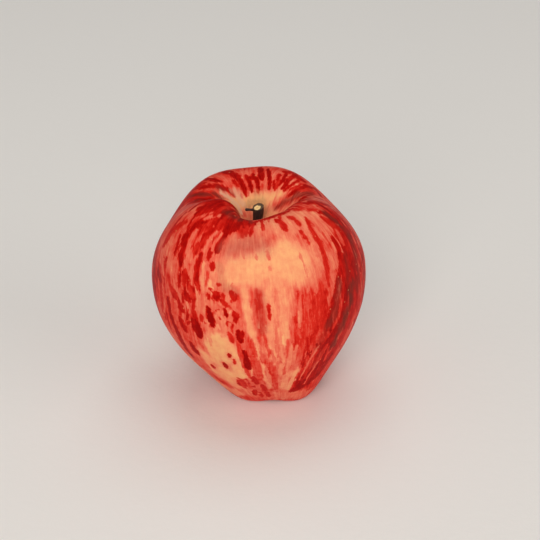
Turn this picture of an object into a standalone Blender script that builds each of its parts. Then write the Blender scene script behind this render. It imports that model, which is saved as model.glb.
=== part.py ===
"""A fresh red apple as three solids: the lobed fruit, its short cut stem and the dried calyx in its base.

Metres, +Z up. The apple stands on Z = 0, with the middle of its box on the Z axis. Bearings are in degrees
about Z, from +X towards +Y, so the front of the apple is at 270.
"""

import math

import bmesh
import bpy
import numpy as np
from mathutils import Matrix, Vector

# The fruit's half outline as (radius, height), from the floor of the stem's hollow to that of the calyx basin
OUTLINE = (
    (0.0, 0.0665),
    (0.004, 0.067),
    (0.0085, 0.0705),
    (0.012, 0.0775),
    (0.017, 0.0825),
    (0.0255, 0.082),
    (0.035, 0.0735),
    (0.0395, 0.062),
    (0.041, 0.048),
    (0.0395, 0.035),
    (0.032, 0.020),
    (0.0245, 0.007),
    (0.0195, 0.0003),
    (0.0145, -0.0015),
    (0.0098, 0.0009),
    (0.006, 0.005),
    (0.003, 0.008),
    (0.0, 0.008),
)
ROWS_PER_POINT = 3
STEPS_AROUND = 60

# Humps and valleys of the shoulder as (bearing, height, spread in degrees)
SHOULDERS = (
    (270.0, -0.0012, 30.0),
    (20.0, -0.0050, 36.0),
    (95.0, -0.0006, 24.0),
    (166.0, -0.0040, 30.0),
    (222.0, 0.0046, 27.0),
    (316.0, -0.0005, 20.0),
)
SHOULDER_FROM = 0.050
SHOULDER_FULL = 0.078
SHOULDER_FALL = 1.5

# Five lobes round the calyx basin
LOBES = 5
LOBE_BEARING = 306.0
LOBE_DEPTH = 0.0008
LOBE_FROM = 0.026
LOBE_FULL = 0.004

# How far the lobes and humps reach towards the axis
HOLLOW_EDGE = 0.012
HOLLOW_START = 0.0025
BASIN_EDGE = 0.009

# The fruit grew out of round, with its base to one side and its head leaning to the other
ROUND_SHARE = 0.012
ROUND_BEARING = 23.0
OVAL_SHARE = 0.005
OVAL_BEARING = 62.0
BASE_SHIFT = 0.0033
SHIFT_HEIGHT = 0.046
LEAN = 3.0

# The base grew level with what it stands on, and its lowest bumps are pressed flat to this depth
LEVEL_SHARE = 0.8
REST_DEPTH = 0.0008

# Space between pieces that touch, and the distance within which a piece's own points are welded
GAP = 0.0003
WELD = 0.00001
SHARP_ANGLE = 50.0

# Stem, with heights above the floor of its hollow
STEM_SOCKET_DEPTH = 0.0045
STEM_ROOT_RADIUS = 0.0018
STEM_WAIST = 0.35
STEM_HEAD_RADIUS = 0.00205
STEM_HEIGHT = 0.0096
STEM_LEAN = 0.0018
STEM_ROWS = 9
STEM_SIDES = 12

# The cut across the stem's head falls a little towards the front left
CUT_TILT = 12.0
CUT_BEARING = 240.0

# A small spur on the stem's left side
SPUR_FOOT = (0.0010, 0.0, 0.0084)
SPUR_BEND = (-0.0012, -0.0002, 0.0086)
SPUR_END = (-0.0031, -0.0004, 0.0089)
SPUR_RADII = (0.00075, 0.0005, 0.00056)
SPUR_SIDES = 8

# Calyx, which hangs from the floor of its basin by a stub in the tube above it
TUBE_RADIUS = 0.0021
TUBE_DEPTH = 0.0022
CALYX_STUB_RADIUS = 0.0015
CALYX_DISC_RADIUS = 0.0026
CALYX_DISC_FOOT_RADIUS = 0.0023
CALYX_DISC_HEIGHT = 0.0014
CALYX_DISC_SLOPE = 0.0007
SEPALS = 5
SEPAL_ROWS = 6
SEPAL_LENGTH = 0.0048
SEPAL_WIDTH = 0.0027
SEPAL_TIP = 0.00035
SEPAL_FOOT = 0.0016
SEPAL_BOW = 0.0023
SEPAL_CURL = 2.3
SEPAL_KEEL = 0.25
SEPAL_BELLY = 0.25
SEPAL_THICKNESS = 0.0007
SEPAL_BEARING = 18.0
STAMENS = 7
STAMEN_RING = 0.0010
STAMEN_SPLAY = 1.3
STAMEN_RADIUS = 0.00033
STAMEN_LENGTH = 0.0026
STAMEN_SIDES = 8


def clear_scene():
    for thing in list(bpy.data.objects):
        bpy.data.objects.remove(thing, do_unlink=True)


def new_collection(name, hidden=False):
    collection = bpy.data.collections.new(name)
    collection.hide_render = hidden
    bpy.context.scene.collection.children.link(collection)
    return collection


def material(name, colour, roughness):
    made = bpy.data.materials.new(name)
    made.use_nodes = True
    shader = made.node_tree.nodes["Principled BSDF"]
    shader.inputs["Base Color"].default_value = (*colour, 1.0)
    shader.inputs["Roughness"].default_value = roughness
    shader.inputs["Metallic"].default_value = 0.0
    return made


def smooth_step(start, end, value):
    """0 before start and 1 past end, with an even slope between."""
    share = np.clip((value - start) / (end - start), 0.0, 1.0)
    return share * share * (3.0 - 2.0 * share)


def outline_points():
    """The half outline as an even cubic B-spline, mirrored at both ends so that it meets the axis level."""
    cage = np.array(OUTLINE)
    mirror = np.array((-1.0, 1.0))
    cage = np.vstack([cage[1] * mirror, cage, cage[-2] * mirror])
    spans = len(OUTLINE) - 1
    points = []
    for row in range(spans * ROWS_PER_POINT + 1):
        span = min(row // ROWS_PER_POINT, spans - 1)
        u = row / ROWS_PER_POINT - span
        weights = np.array(((1 - u) ** 3, 3 * u**3 - 6 * u**2 + 4, -3 * u**3 + 3 * u**2 + 3 * u + 1, u**3))
        points.append(weights @ cage[span : span + 4] / 6.0)
    return np.array(points)


def with_sockets(points):
    """The outline with a straight hole for the stem's root at its start and one for the calyx at its end."""
    hollow, basin = points[0][1], points[-1][1]
    stem_radius = STEM_ROOT_RADIUS + GAP
    crown = points[: len(points) // 2]
    foot = points[len(points) // 2 :]
    crown = crown[crown[:, 0] > stem_radius + GAP]
    foot = foot[foot[:, 0] > TUBE_RADIUS + GAP]
    stem_hole = [
        (0.0, hollow - STEM_SOCKET_DEPTH),
        (stem_radius, hollow - STEM_SOCKET_DEPTH),
        (stem_radius, hollow),
    ]
    tube = [(TUBE_RADIUS, basin), (TUBE_RADIUS, basin + TUBE_DEPTH), (0.0, basin + TUBE_DEPTH)]
    return [*stem_hole, *crown, *foot, *tube]


def grown(points, normals):
    """Moves the points of an evenly turned fruit to where they grew: lobed, out of round and leaning."""
    radius = np.hypot(points[:, 0], points[:, 1])
    height = points[:, 2]
    bearing = np.degrees(np.arctan2(points[:, 1], points[:, 0]))
    hump = np.zeros(len(points))
    for middle, rise, spread in SHOULDERS:
        away = np.abs((bearing - middle + 180.0) % 360.0 - 180.0)
        hump += rise * np.exp(-SHOULDER_FALL * (away / spread) ** 2)
    lobe = LOBE_DEPTH * (np.cos(LOBES * np.radians(bearing - LOBE_BEARING)) - 1.0)
    crown = smooth_step(SHOULDER_FROM, SHOULDER_FULL, height) * smooth_step(HOLLOW_START, HOLLOW_EDGE, radius)
    foot = smooth_step(LOBE_FROM, LOBE_FULL, height) * smooth_step(HOLLOW_START, BASIN_EDGE, radius)
    points = points + normals * (hump * crown + lobe * foot)[:, None]
    out = 1.0 + ROUND_SHARE * np.cos(np.radians(bearing - ROUND_BEARING))
    out += OVAL_SHARE * np.cos(2.0 * np.radians(bearing - OVAL_BEARING))
    points[:, :2] *= out[:, None]
    points[:, 2] -= LEVEL_SHARE * math.tan(math.radians(LEAN)) * points[:, 0] * foot
    points[:, 0] += sideways(points[:, 2])
    return points


def sideways(height):
    """How far the base grew towards +X at a height."""
    return BASE_SHIFT * np.clip(1.0 - height / SHIFT_HEIGHT, 0.0, 1.0) ** 2


def evaluated_mesh(thing):
    """A plain mesh of an object with its curve or modifiers applied, and the object itself removed."""
    graph = bpy.context.evaluated_depsgraph_get()
    mesh = bpy.data.meshes.new_from_object(thing.evaluated_get(graph))
    bpy.data.objects.remove(thing, do_unlink=True)
    return mesh


def add_object(collection, name, mesh, finish):
    """An object of a mesh in its own finish, shaded smooth but for its sharp corners."""
    mesh.name = name
    mesh.materials.clear()
    mesh.materials.append(finish)
    mesh.shade_smooth()
    mesh.set_sharp_from_angle(angle=math.radians(SHARP_ANGLE))
    thing = bpy.data.objects.new(name, mesh)
    collection.objects.link(thing)
    return thing


def turned_mesh(outline):
    """A closed solid turned about Z from a half outline that runs from top to bottom."""
    mesh = bpy.data.meshes.new("outline")
    edges = [(i, i + 1) for i in range(len(outline) - 1)]
    mesh.from_pydata([(x, 0.0, z) for x, z in outline], edges, [])
    thing = bpy.data.objects.new("outline", mesh)
    bpy.context.scene.collection.objects.link(thing)
    screw = thing.modifiers.new("Turn", "SCREW")
    screw.axis = "Z"
    screw.steps = STEPS_AROUND
    screw.render_steps = STEPS_AROUND
    screw.use_merge_vertices = True
    screw.merge_threshold = WELD
    return evaluated_mesh(thing)


def fruit_mesh(outline):
    """The fruit in its place, and the matrix from its growing axis to that place."""
    mesh = turned_mesh(with_sockets(outline))
    points = np.array([vert.co for vert in mesh.vertices])
    normals = np.array([vert.normal for vert in mesh.vertices])
    lean = Matrix.Rotation(math.radians(-LEAN), 4, "Y")
    points = grown(points, normals) @ np.array(lean.to_3x3()).T
    low, high = points.min(axis=0), points.max(axis=0)
    settle = Vector((-(low[0] + high[0]) / 2, -(low[1] + high[1]) / 2, -low[2] - REST_DEPTH))
    points += np.array(settle)
    points[:, 2] = np.maximum(points[:, 2], 0.0)
    for vert, place in zip(mesh.vertices, points):
        vert.co = place
    return mesh, Matrix.Translation(settle) @ lean


def rod_mesh(points, radii, sides):
    """A round rod through points with a radius at each, closed at both ends, as one welded mesh."""
    curve = bpy.data.curves.new("rod", "CURVE")
    curve.dimensions = "3D"
    curve.bevel_depth = 1.0
    curve.bevel_resolution = (sides - 4) // 2
    curve.use_fill_caps = True
    spline = curve.splines.new("POLY")
    spline.points.add(len(points) - 1)
    for point, place, radius in zip(spline.points, points, radii):
        point.co = (*place, 1.0)
        point.radius = radius
    thing = bpy.data.objects.new("rod", curve)
    bpy.context.scene.collection.objects.link(thing)
    mesh = evaluated_mesh(thing)
    with_bmesh(mesh, lambda bm: bmesh.ops.remove_doubles(bm, verts=bm.verts, dist=WELD))
    return mesh


def with_bmesh(mesh, change):
    """Runs one change on a mesh through bmesh."""
    bm = bmesh.new()
    bm.from_mesh(mesh)
    change(bm)
    bm.to_mesh(mesh)
    bm.free()


def cut_off(mesh, place, direction):
    """Cuts away what lies past a plane and closes the cut."""

    def cut(bm):
        geometry = [*bm.verts, *bm.edges, *bm.faces]
        bmesh.ops.bisect_plane(bm, geom=geometry, plane_co=place, plane_no=direction, clear_outer=True)
        rim = [edge for edge in bm.edges if edge.is_boundary]
        bmesh.ops.holes_fill(bm, edges=rim, sides=0)

    with_bmesh(mesh, cut)


def joined(collection, cutters, name, meshes, finish):
    """One object from meshes that cross each other, joined into one closed solid."""
    base = add_object(collection, name, meshes[0], finish)
    for number, mesh in enumerate(meshes[1:]):
        helper = add_object(cutters, f"{name}_join_{number}", mesh, finish)
        helper.hide_render = True
        helper.display_type = "WIRE"
    union = base.modifiers.new("Join", "BOOLEAN")
    union.operation = "UNION"
    union.operand_type = "COLLECTION"
    union.collection = cutters
    union.solver = "EXACT"
    graph = bpy.context.evaluated_depsgraph_get()
    mesh = bpy.data.meshes.new_from_object(base.evaluated_get(graph))
    for thing in [base, *cutters.objects]:
        bpy.data.objects.remove(thing, do_unlink=True)
    return add_object(collection, name, mesh, finish)


def stem_spine():
    """The stem's middle line and radii, from its root in the fruit to past its cut head."""
    points = []
    radii = []
    bottom = GAP - STEM_SOCKET_DEPTH
    top = STEM_HEIGHT + STEM_HEAD_RADIUS
    for row in range(STEM_ROWS):
        height = bottom + (top - bottom) * row / (STEM_ROWS - 1)
        rise = min(max(height / STEM_HEIGHT, 0.0), 1.0)
        swell = float(smooth_step(STEM_WAIST, 1.0, rise))
        points.append((STEM_LEAN * (1.0 - (1.0 - rise) ** 2), 0.0, height))
        radii.append(STEM_ROOT_RADIUS + (STEM_HEAD_RADIUS - STEM_ROOT_RADIUS) * swell)
    return points, radii


def build_stem(collection, cutters, growing, hollow, finish):
    """A short thick stem with a slanted cut and one small spur, standing in its socket."""
    shaft = rod_mesh(*stem_spine(), STEM_SIDES)
    facing = Vector((0.0, 0.0, 1.0))
    facing.rotate(Matrix.Rotation(math.radians(CUT_TILT), 3, "Y"))
    facing.rotate(Matrix.Rotation(math.radians(CUT_BEARING), 3, "Z"))
    cut_off(shaft, (STEM_LEAN, 0.0, STEM_HEIGHT), facing)
    spur = rod_mesh([SPUR_FOOT, SPUR_BEND, SPUR_END], SPUR_RADII, SPUR_SIDES)
    stem = joined(collection, cutters, "stem", [shaft, spur], finish)
    stem.matrix_world = growing @ Matrix.Translation((0.0, 0.0, hollow))
    return stem


def sepal_mesh(bearing):
    """One dried sepal: a pointed blade that bows out from the disc and curls back in at its tip."""
    bm = bmesh.new()
    bmesh.ops.create_grid(bm, x_segments=2, y_segments=SEPAL_ROWS, size=0.5)
    for vert in bm.verts:
        share = vert.co.y + 0.5
        swell = math.sin(math.pi * (SEPAL_BELLY + (1.0 - SEPAL_BELLY) * share))
        half = SEPAL_TIP + (SEPAL_WIDTH / 2 - SEPAL_TIP) * swell
        side = 2.0 * vert.co.x * half
        reach = SEPAL_FOOT + SEPAL_BOW * math.sin(SEPAL_CURL * share) - SEPAL_KEEL * abs(side)
        vert.co = (reach, side, -GAP - CALYX_DISC_SLOPE - SEPAL_LENGTH * share)
    turn = Matrix.Rotation(math.radians(bearing), 3, "Z")
    bmesh.ops.rotate(bm, verts=bm.verts, cent=(0.0, 0.0, 0.0), matrix=turn)
    mesh = bpy.data.meshes.new("sepal")
    bm.to_mesh(mesh)
    bm.free()
    thing = bpy.data.objects.new("sepal", mesh)
    bpy.context.scene.collection.objects.link(thing)
    wall = thing.modifiers.new("Thickness", "SOLIDIFY")
    wall.thickness = SEPAL_THICKNESS
    wall.offset = 0.0
    return evaluated_mesh(thing)


def calyx_disc_mesh():
    """The calyx disc with the stub that stands in the tube of the fruit."""
    outline = [
        (0.0, TUBE_DEPTH - GAP),
        (CALYX_STUB_RADIUS, TUBE_DEPTH - GAP),
        (CALYX_STUB_RADIUS, -GAP),
        (CALYX_DISC_RADIUS, -GAP - CALYX_DISC_SLOPE),
        (CALYX_DISC_FOOT_RADIUS, -GAP - CALYX_DISC_HEIGHT),
        (0.0, -GAP - CALYX_DISC_HEIGHT),
    ]
    return turned_mesh(outline)


def build_calyx(collection, cutters, growing, basin, finish):
    """The dried flower end: a disc, five curled sepals and a tuft of stamens, joined in one piece."""
    meshes = [calyx_disc_mesh()]
    for number in range(SEPALS):
        meshes.append(sepal_mesh(SEPAL_BEARING + 360.0 * number / SEPALS))
    for number in range(STAMENS):
        bearing = math.radians(360.0 * number / STAMENS)
        around = Vector((math.cos(bearing), math.sin(bearing), 0.0)) * STAMEN_RING
        foot = around - Vector((0.0, 0.0, GAP + CALYX_DISC_SLOPE))
        tip = around * STAMEN_SPLAY - Vector((0.0, 0.0, GAP + CALYX_DISC_HEIGHT + STAMEN_LENGTH))
        meshes.append(rod_mesh([foot, tip], [STAMEN_RADIUS, STAMEN_RADIUS], STAMEN_SIDES))
    calyx = joined(collection, cutters, "calyx", meshes, finish)
    aside = float(sideways(basin))
    calyx.matrix_world = growing @ Matrix.Translation((aside, 0.0, basin))
    return calyx


def main():
    clear_scene()
    parts = new_collection("red_apple")
    helpers = new_collection("helpers", hidden=True)
    skin = material("red_skin", (0.62, 0.055, 0.032), 0.38)
    bark = material("stem_bark", (0.045, 0.024, 0.014), 0.75)
    husk = material("dried_calyx", (0.10, 0.060, 0.032), 0.85)
    outline = outline_points()
    hollow, basin = outline[0][1], outline[-1][1]
    mesh, growing = fruit_mesh(outline)
    add_object(parts, "apple_fruit", mesh, skin)
    build_stem(parts, helpers, growing, hollow, bark)
    build_calyx(parts, helpers, growing, basin, husk)


main()
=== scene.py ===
"""Dresses a red apple: its streaked and flecked skin, the bark and cut wood of its stem and its dried calyx.

Every length is in metres unless a name or a comment says millimetres or pixels. Bearings are in degrees about
Z, from +X towards +Y, so the front of the apple is at 270. Places along the fruit are counted in spans of its
outline, from the floor of the stem's hollow. Pixels are those of the 540 x 540 photograph.
"""

import math
import random

import bmesh
import bpy
import numpy as np
from mathutils import Matrix, Vector, noise


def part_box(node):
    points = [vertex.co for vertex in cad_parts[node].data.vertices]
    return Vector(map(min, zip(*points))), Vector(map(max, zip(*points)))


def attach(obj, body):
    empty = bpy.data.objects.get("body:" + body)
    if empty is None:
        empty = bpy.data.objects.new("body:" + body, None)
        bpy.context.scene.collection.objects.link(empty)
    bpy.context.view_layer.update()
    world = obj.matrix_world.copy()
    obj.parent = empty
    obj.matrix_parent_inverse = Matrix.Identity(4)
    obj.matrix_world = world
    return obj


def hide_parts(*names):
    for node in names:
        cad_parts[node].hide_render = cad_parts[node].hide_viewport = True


bl_info = {
    "name": "Red apple",
    "version": (1, 0, 0),
    "blender": (4, 5, 0),
    "location": "3D View > Sidebar > Apple",
    "description": "Builds a red apple with its stem and calyx, and a plain stage for it",
    "category": "Object",
}

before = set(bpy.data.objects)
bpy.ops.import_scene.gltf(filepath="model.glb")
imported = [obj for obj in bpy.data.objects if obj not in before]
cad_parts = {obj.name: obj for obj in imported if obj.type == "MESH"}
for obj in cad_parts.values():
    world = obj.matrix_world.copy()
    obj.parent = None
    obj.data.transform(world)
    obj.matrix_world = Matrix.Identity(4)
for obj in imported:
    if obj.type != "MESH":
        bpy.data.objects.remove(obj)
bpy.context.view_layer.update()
MM = 0.001

# The fruit's half outline as (radius, height), from the floor of the stem's hollow to that of the calyx basin
OUTLINE = (
    (0.0, 0.0665),
    (0.004, 0.067),
    (0.0085, 0.0705),
    (0.012, 0.0775),
    (0.017, 0.0825),
    (0.0255, 0.082),
    (0.035, 0.0735),
    (0.0395, 0.062),
    (0.041, 0.048),
    (0.0395, 0.035),
    (0.032, 0.020),
    (0.0245, 0.007),
    (0.0195, 0.0003),
    (0.0145, -0.0015),
    (0.0098, 0.0009),
    (0.006, 0.005),
    (0.003, 0.008),
    (0.0, 0.008),
)
SPANS = len(OUTLINE) - 1
# Where along the outline the crest of the shoulders lies
CREST = 4.6

# Humps and valleys of the shoulder as (bearing, height, spread in degrees)
SHOULDERS = (
    (270.0, -0.0012, 30.0),
    (20.0, -0.0050, 36.0),
    (95.0, -0.0006, 24.0),
    (166.0, -0.0040, 30.0),
    (222.0, 0.0046, 27.0),
    (316.0, -0.0005, 20.0),
)
# Between which heights and radii the shoulders and the lobes of the base fade in, how far the fruit is out of
# round, how far its base lies to one side, its lean, and how much of its base is cut flat where it rests
SHOULDER_FROM = 0.050
SHOULDER_FULL = 0.078
SHOULDER_FALL = 1.5
LOBES = 5
LOBE_BEARING = 306.0
LOBE_DEPTH = 0.0008
LOBE_FROM = 0.026
LOBE_FULL = 0.004
HOLLOW_EDGE = 0.012
HOLLOW_START = 0.0025
BASIN_EDGE = 0.009
ROUND_SHARE = 0.012
ROUND_BEARING = 23.0
OVAL_SHARE = 0.005
OVAL_BEARING = 62.0
BASE_SHIFT = 0.0033
SHIFT_HEIGHT = 0.046
LEAN = 3.0
LEVEL_SHARE = 0.8
REST_DEPTH = 0.0008

# The skin's mesh: rows down it, steps round it, how far the steps crowd towards the front, and the coarser
# rows and steps that measure the outline and the box
ROWS = 232
STEPS_AROUND = 420
FRONT_BEARING = 270.0
FRONT_CROWDING = 0.38
ROWS_PER_SPAN = 20
FIT_ROWS_PER_SPAN = 6
FIT_STEP = 2.0

# Relief, all of it inwards: a pair is where along the fruit it fades in or out, and the rest is how fine and
# how deep it is
CALM_BELOW = (13.6, 12.4)
CALM_ABOVE = (1.0, 3.0)
BROAD_DENTS = 55.0
SMALL_DENTS = 160.0
SMALL_DENT_DEPTH = 0.05 * MM
HOLLOW_FOLDS = 17.0
FOLD_WANDER = 3.0
FOLD_PHASE = 0.6
FOLD_TWIST = 0.8
FOLDS_FROM = (0.3, 1.6)
FOLDS_TO = (4.2, 2.4)
BASIN_PLEATS = 10.0
PLEATS_FROM = (13.2, 14.6)
PLEATS_FADE = 0.8

# Patterns that follow the skin's grain as (scale across and along, move, detail, roughness), read from a copy
# of the fruit that is a cylinder of this radius in millimetres
GRAIN_RADIUS = 40.0
GRAIN_PATTERNS = {
    "wide": ((0.30, 0.30, 0.045), (0.0, 0.0, 0.0), 3.0, 0.6),
    "thin": ((0.95, 0.95, 0.13), (7.0, 3.0, 1.0), 4.0, 0.65),
    "hair": ((3.2, 3.2, 0.42), (1.0, 8.0, 2.0), 3.0, 0.6),
    "ragged": ((1.1, 1.1, 0.34), (2.0, 9.0, 4.0), 4.0, 0.66),
    "crumbled": ((1.7, 1.7, 0.9), (5.0, 1.0, 3.0), 3.0, 0.6),
}
# Patterns that don't, as (scale, detail, roughness)
PLACE_PATTERNS = {
    "mottle": (420.0, 4.0, 0.62),
    "speckle": (1900.0, 2.0, 0.6),
    "drift": (130.0, 3.0, 0.6),
}
# How far each pattern moves the tone, the edges of marks, the tones of marks, the roughness and the height
GRAIN_SWAY = {"wide": 0.34, "thin": 0.52, "hair": 0.26}
TONE_SWAY = {"mottle": 0.32, "drift": 0.22, "speckle": 0.08}
EDGE_SWAY = {
    "streak": {"ragged": 1.9, "hair": 1.3, "mottle": 0.7},
    "fleck": {"crumbled": 1.4, "mottle": 0.7},
}
MARK_SWAY = {"streak": {"thin": 0.46, "mottle": 0.34}, "fleck": {"thin": 0.44, "mottle": 0.40}}
MARK_EDGES = {"streak": (-0.22, 0.28), "fleck": (-0.26, 0.34)}
MARK_COVER = {"streak": 0.93, "fleck": 1.0}
ROUGHNESS_SWAY = {"mottle": 0.18}
HEIGHT_SWAY = {"thin": 0.03, "hair": 0.02, "speckle": 0.012}
PORE_SWAY = {"speckle": 0.06}
# The ground shows less grain than the blush
GROUND_GRAIN = 0.28
GROUND_END = 0.40
TONE_STOPS = (0.0, 0.24, 0.46, 0.64, 0.82, 0.98)
# Painted shade, cork and film lie more where a pattern is high, over an even share
PAINTED_SHADE_THIN = 1.1
PAINTED_SHADE_EVEN = 0.35
PAINTED_SHADE_ROUGHNESS = 0.06
CORK_MOTTLE = 1.7
CORK_HAIR = 0.5
CORK_GAPS = 0.25
CORK_COVER = 0.85
CORK_ROUGHNESS = 0.25
CORK_HEIGHT = 0.06
SCARF_EVEN = 0.5
SCARF_COVER = 0.9
PORE_SCALE = 240.0
PORE_EDGES = (0.045, 0.10)
PORE_COVER = 0.30
PORE_HEIGHT = 0.014
SKIN_ROUGHNESS = 0.46
SKIN_SURFACE = {
    "Specular IOR Level": 0.03,
    "Specular Tint": (1.0, 0.62, 0.50, 1.0),
    "Subsurface Weight": 0.04,
    "Subsurface Radius": (1.0, 0.35, 0.2),
    "Subsurface Scale": 0.002,
}

# The stem: a leaning rod that swells above its waist, and reaches below its root
STEM_LEAN = 0.0018
STEM_WAIST = 0.35
STEM_DEPTH = 0.0040
STEM_SPARE = 1.2
STEM_ROWS = 90
STEM_STEPS = 72
# The bark's ridges and lumps, which leave the pole of the rod alone
RIDGES = 9.0
RIDGE_TWIST = 500.0
RIDGE_HEIGHT = 0.045 * MM
LUMP_SCALE = 900.0
LUMP_STRETCH = 0.35
LUMP_HEIGHT = 0.12 * MM
RELIEF_LIMIT = 0.03 * MM
RELIEF_FROM = 0.5 * MM
CUT_TILT = 12.0
CUT_BEARING = 240.0
CUT_GRAIN = 1700.0
CUT_GRAIN_HEIGHT = 0.05 * MM
# The cut's rings as (share of the ring before, sink in millimetres): the bark's end, then the wood
CUT_RINGS = ((0.76, 0.02), (0.97, 0.14), (0.82, 0.05), (0.78, 0.02), (0.7, 0.0), (0.6, 0.03), (0.5, 0.05))
# To which side of the cut its wood lies, as shares of the head's radius
WOOD_SIDE = (-0.80, -0.60)
SPUR_SPINE = ((0.0010, 0.0, 0.0084), (-0.0012, -0.0002, 0.0086), (-0.0031, -0.0004, 0.0089))
SPUR_RADII = (0.00070, 0.00042, 0.00062)
SPUR_STEPS = 20
SPUR_ROWS = 24
# A direction that no spur or stamen runs in, from which their rings are turned
ROD_SIDE = (0.0, 0.6, 0.8)
# The bark, its patterns as (scale, detail, roughness) and its second colours as display colours
BARK_STRETCH = (1.0, 1.0, 0.22)
BARK_RIDGES = (2600.0, 4.0, 0.65)
BARK_PATCHES = (700.0, 3.0, 0.6)
BARK_WEAR_SWAY = {"ridges": 0.5}
BARK_WEAR_EDGES = (0.52, 0.72)
BARK_WEAR = 0.6
WORN_BARK = (98, 72, 58)
CREVICE_EDGES = (0.62, 0.40)
CREVICE_COVER = 0.7
BARK_CREVICE = (28, 17, 16)
BARK_ROUGHNESS = 0.66
BARK_ROUGHNESS_SWAY = {"ridges": 0.3}
BARK_HEIGHT_SWAY = {"ridges": 0.16, "patches": 0.10}
BARK_SURFACE = {"Specular IOR Level": 0.35}
# The cut wood in the same way
WOOD_FIBRES = (3600.0, 3.0, 0.6)
WOOD_TEARS = (1100.0, 2.0, 0.6)
FIBRE_EDGES = (0.40, 0.66)
FIBRE_COVER = 0.35
DEEPER_WOOD = (222, 168, 104)
RIM_SWAY = {"torn": 0.36, "fibres": 0.08}
RIM_EDGES = (0.60, 0.66)
RIM_COVER = 0.93
CUT_RIM = (62, 38, 32)
PITH_SWAY = {"fibres": 0.1}
PITH_EDGES = (0.10, 0.22)
PITH_COVER = 0.5
PITH = (196, 138, 86)
WOOD_ROUGHNESS = 0.7
WOOD_ROUGHNESS_SWAY = {"fibres": 0.2}
WOOD_HEIGHT_SWAY = {"fibres": 0.12}
WOOD_SURFACE = {"Specular IOR Level": 0.3}

# The calyx: a disc with sepals that bow out and curl in, and stamens round short styles
DISC_OUTLINE = (
    (0.0, 0.0019),
    (0.0015, 0.0019),
    (0.0015, -0.0003),
    (0.0021, -0.0006),
    (0.0025, -0.0011),
    (0.0023, -0.0016),
    (0.0014, -0.0015),
    (0.0009, -0.0012),
    (0.0, -0.0011),
)
DISC_STEPS = 48
SEPALS = 5
SEPAL_BEARING = 18.0
SEPAL_WIDTH = 0.0027
SEPAL_TIP = 0.0002
SEPAL_FOOT = 0.0016
SEPAL_BOW = 0.0023
SEPAL_CURL = 2.3
SEPAL_KEEL = 0.25
SEPAL_BELLY = 0.25
SEPAL_TOP = 0.0010
SEPAL_WALL = 0.28 * MM
SEPAL_SPARE = 0.3 * MM
SEPAL_GRID = (10, 32)
SEPAL_RAGS = 0.16
RAG_SCALE = (0.6, 9.0)
SEPAL_SEEDS = 3.7
VEINS = 9.0
VEIN_HEIGHT = 0.05 * MM
WRINKLE_HEIGHT = 0.10 * MM
WRINKLE_SCALE = (2.0, 7.0)
STAMENS = 7
STAMEN_RING = 0.0010
STAMEN_LENGTH = 0.0026
STAMEN_ROOT = 0.0011
STAMEN_START = 0.0017
STAMEN_SPREAD = 1.25
STAMEN_SHARES = (0.8, 1.0)
STAMEN_TIPS = (1.0, 1.5)
STAMEN_RADII = (0.15 * MM, 0.13 * MM, 0.26 * MM)
STAMEN_STEPS = 12
STAMEN_ROWS = 28
STYLES = 3
STYLE_RING = 0.35 * MM
STYLE_SHARE = 0.7
CALYX_GRAIN = 1500.0
CALYX_GRAIN_HEIGHT = 0.04 * MM
# The dried husk, in the same form as the bark
HUSK_STRETCH = (1.0, 1.0, 0.3)
HUSK_VEINS = (2400.0, 4.0, 0.65)
HUSK_PATCHES = (600.0, 3.0, 0.6)
HUSK_PATCH_EDGES = (0.35, 0.68)
PALE_HUSK = (150, 122, 92)
HUSK_VEIN_EDGES = (0.58, 0.40)
HUSK_VEIN_COVER = 0.7
DARK_HUSK = (48, 32, 24)
HUSK_ROUGHNESS = 0.85
HUSK_SWAY = {"veins": 0.2}
HUSK_SURFACE = {"Specular IOR Level": 0.2}

# The camera that saw the apple: the target's place in the photograph and the scale there
PHOTO_PIXELS = 540
TARGET = (0.002075, -0.00019, 0.039585)
TARGET_PIXEL = (264.34, 292.08)
PIXELS_PER_METRE = 2634.0
SENSOR = 36.0
CLIP = (0.05, 20.0)

# The soft lights as (name, the power it takes a share of, the share, size, place, colour)
LIGHTS = (
    ("key_light", "key_power", 1.0, 1.0, (-0.24, -1.56, 0.98), (1.0, 0.97, 0.93)),
    ("left_fill", "fill_power", 0.38, 1.4, (-1.60, -0.60, 0.46), (1.0, 0.97, 0.95)),
    ("right_fill", "fill_power", 1.0, 1.4, (1.56, -0.84, 0.50), (1.0, 0.98, 0.96)),
    ("top_light", "fill_power", 1.15, 1.6, (0.10, 0.50, 1.90), (1.0, 1.0, 1.0)),
)
# The even light from all round, and the floor's half width, patterns and second colour
WORLD_COLOUR = (1.0, 0.98, 0.96, 1.0)
WORLD_STRENGTH = 0.22
FLOOR_REACH = 6.0
FLOOR_GRAIN = (240.0, 4.0, 0.6)
FLOOR_TINT = (6.0, 2.0, 0.5)
FLOOR_TINT_SHARE = 0.12
FLOOR_SHADE = (224, 221, 217)
FLOOR_ROUGHNESS = 0.8
FLOOR_SWAY = {"grain": 0.1}

# How marks are laid on the skin. A mark is kept as millimetres inside its edge, so outside is negative.
BASE_TONE = 0.58
MARK_KINDS = ("streak", "fleck")
MARK_TONE = 0.9
FAR_OUTSIDE = -2.0
END_TAPER = 0.4
FULLER = 0.16
SOFT_EDGE = 0.2
FRAY_PIXELS = 2.6
FRAY_STRETCH = (0.45, 0.45, 0.16)
FRAY_NOISE = (0.8, 2.0, 3)
LEAST_WIDTH = 0.6
LAY_STEP = 3.0
NEIGHBOURS = 3
NEAREST_PIXELS = 0.2
RUN_STEPS = 8
PALE_TONE = 0.28
HALO_FROM = 0.6
HALO_PIXELS = 9.0
HALO_TONE = 0.50
HALO_STRENGTH = 0.55
FULL_TOUCH = 0.3
LEAST_TOUCH = 0.2
FLANK_OVERLAP = 0.5
HOLLOW_OVERLAP = 1.0
LEAST_LENGTH = 1e-9
TINY = 1e-12
MERGE_DISTANCE = 1e-6

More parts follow.
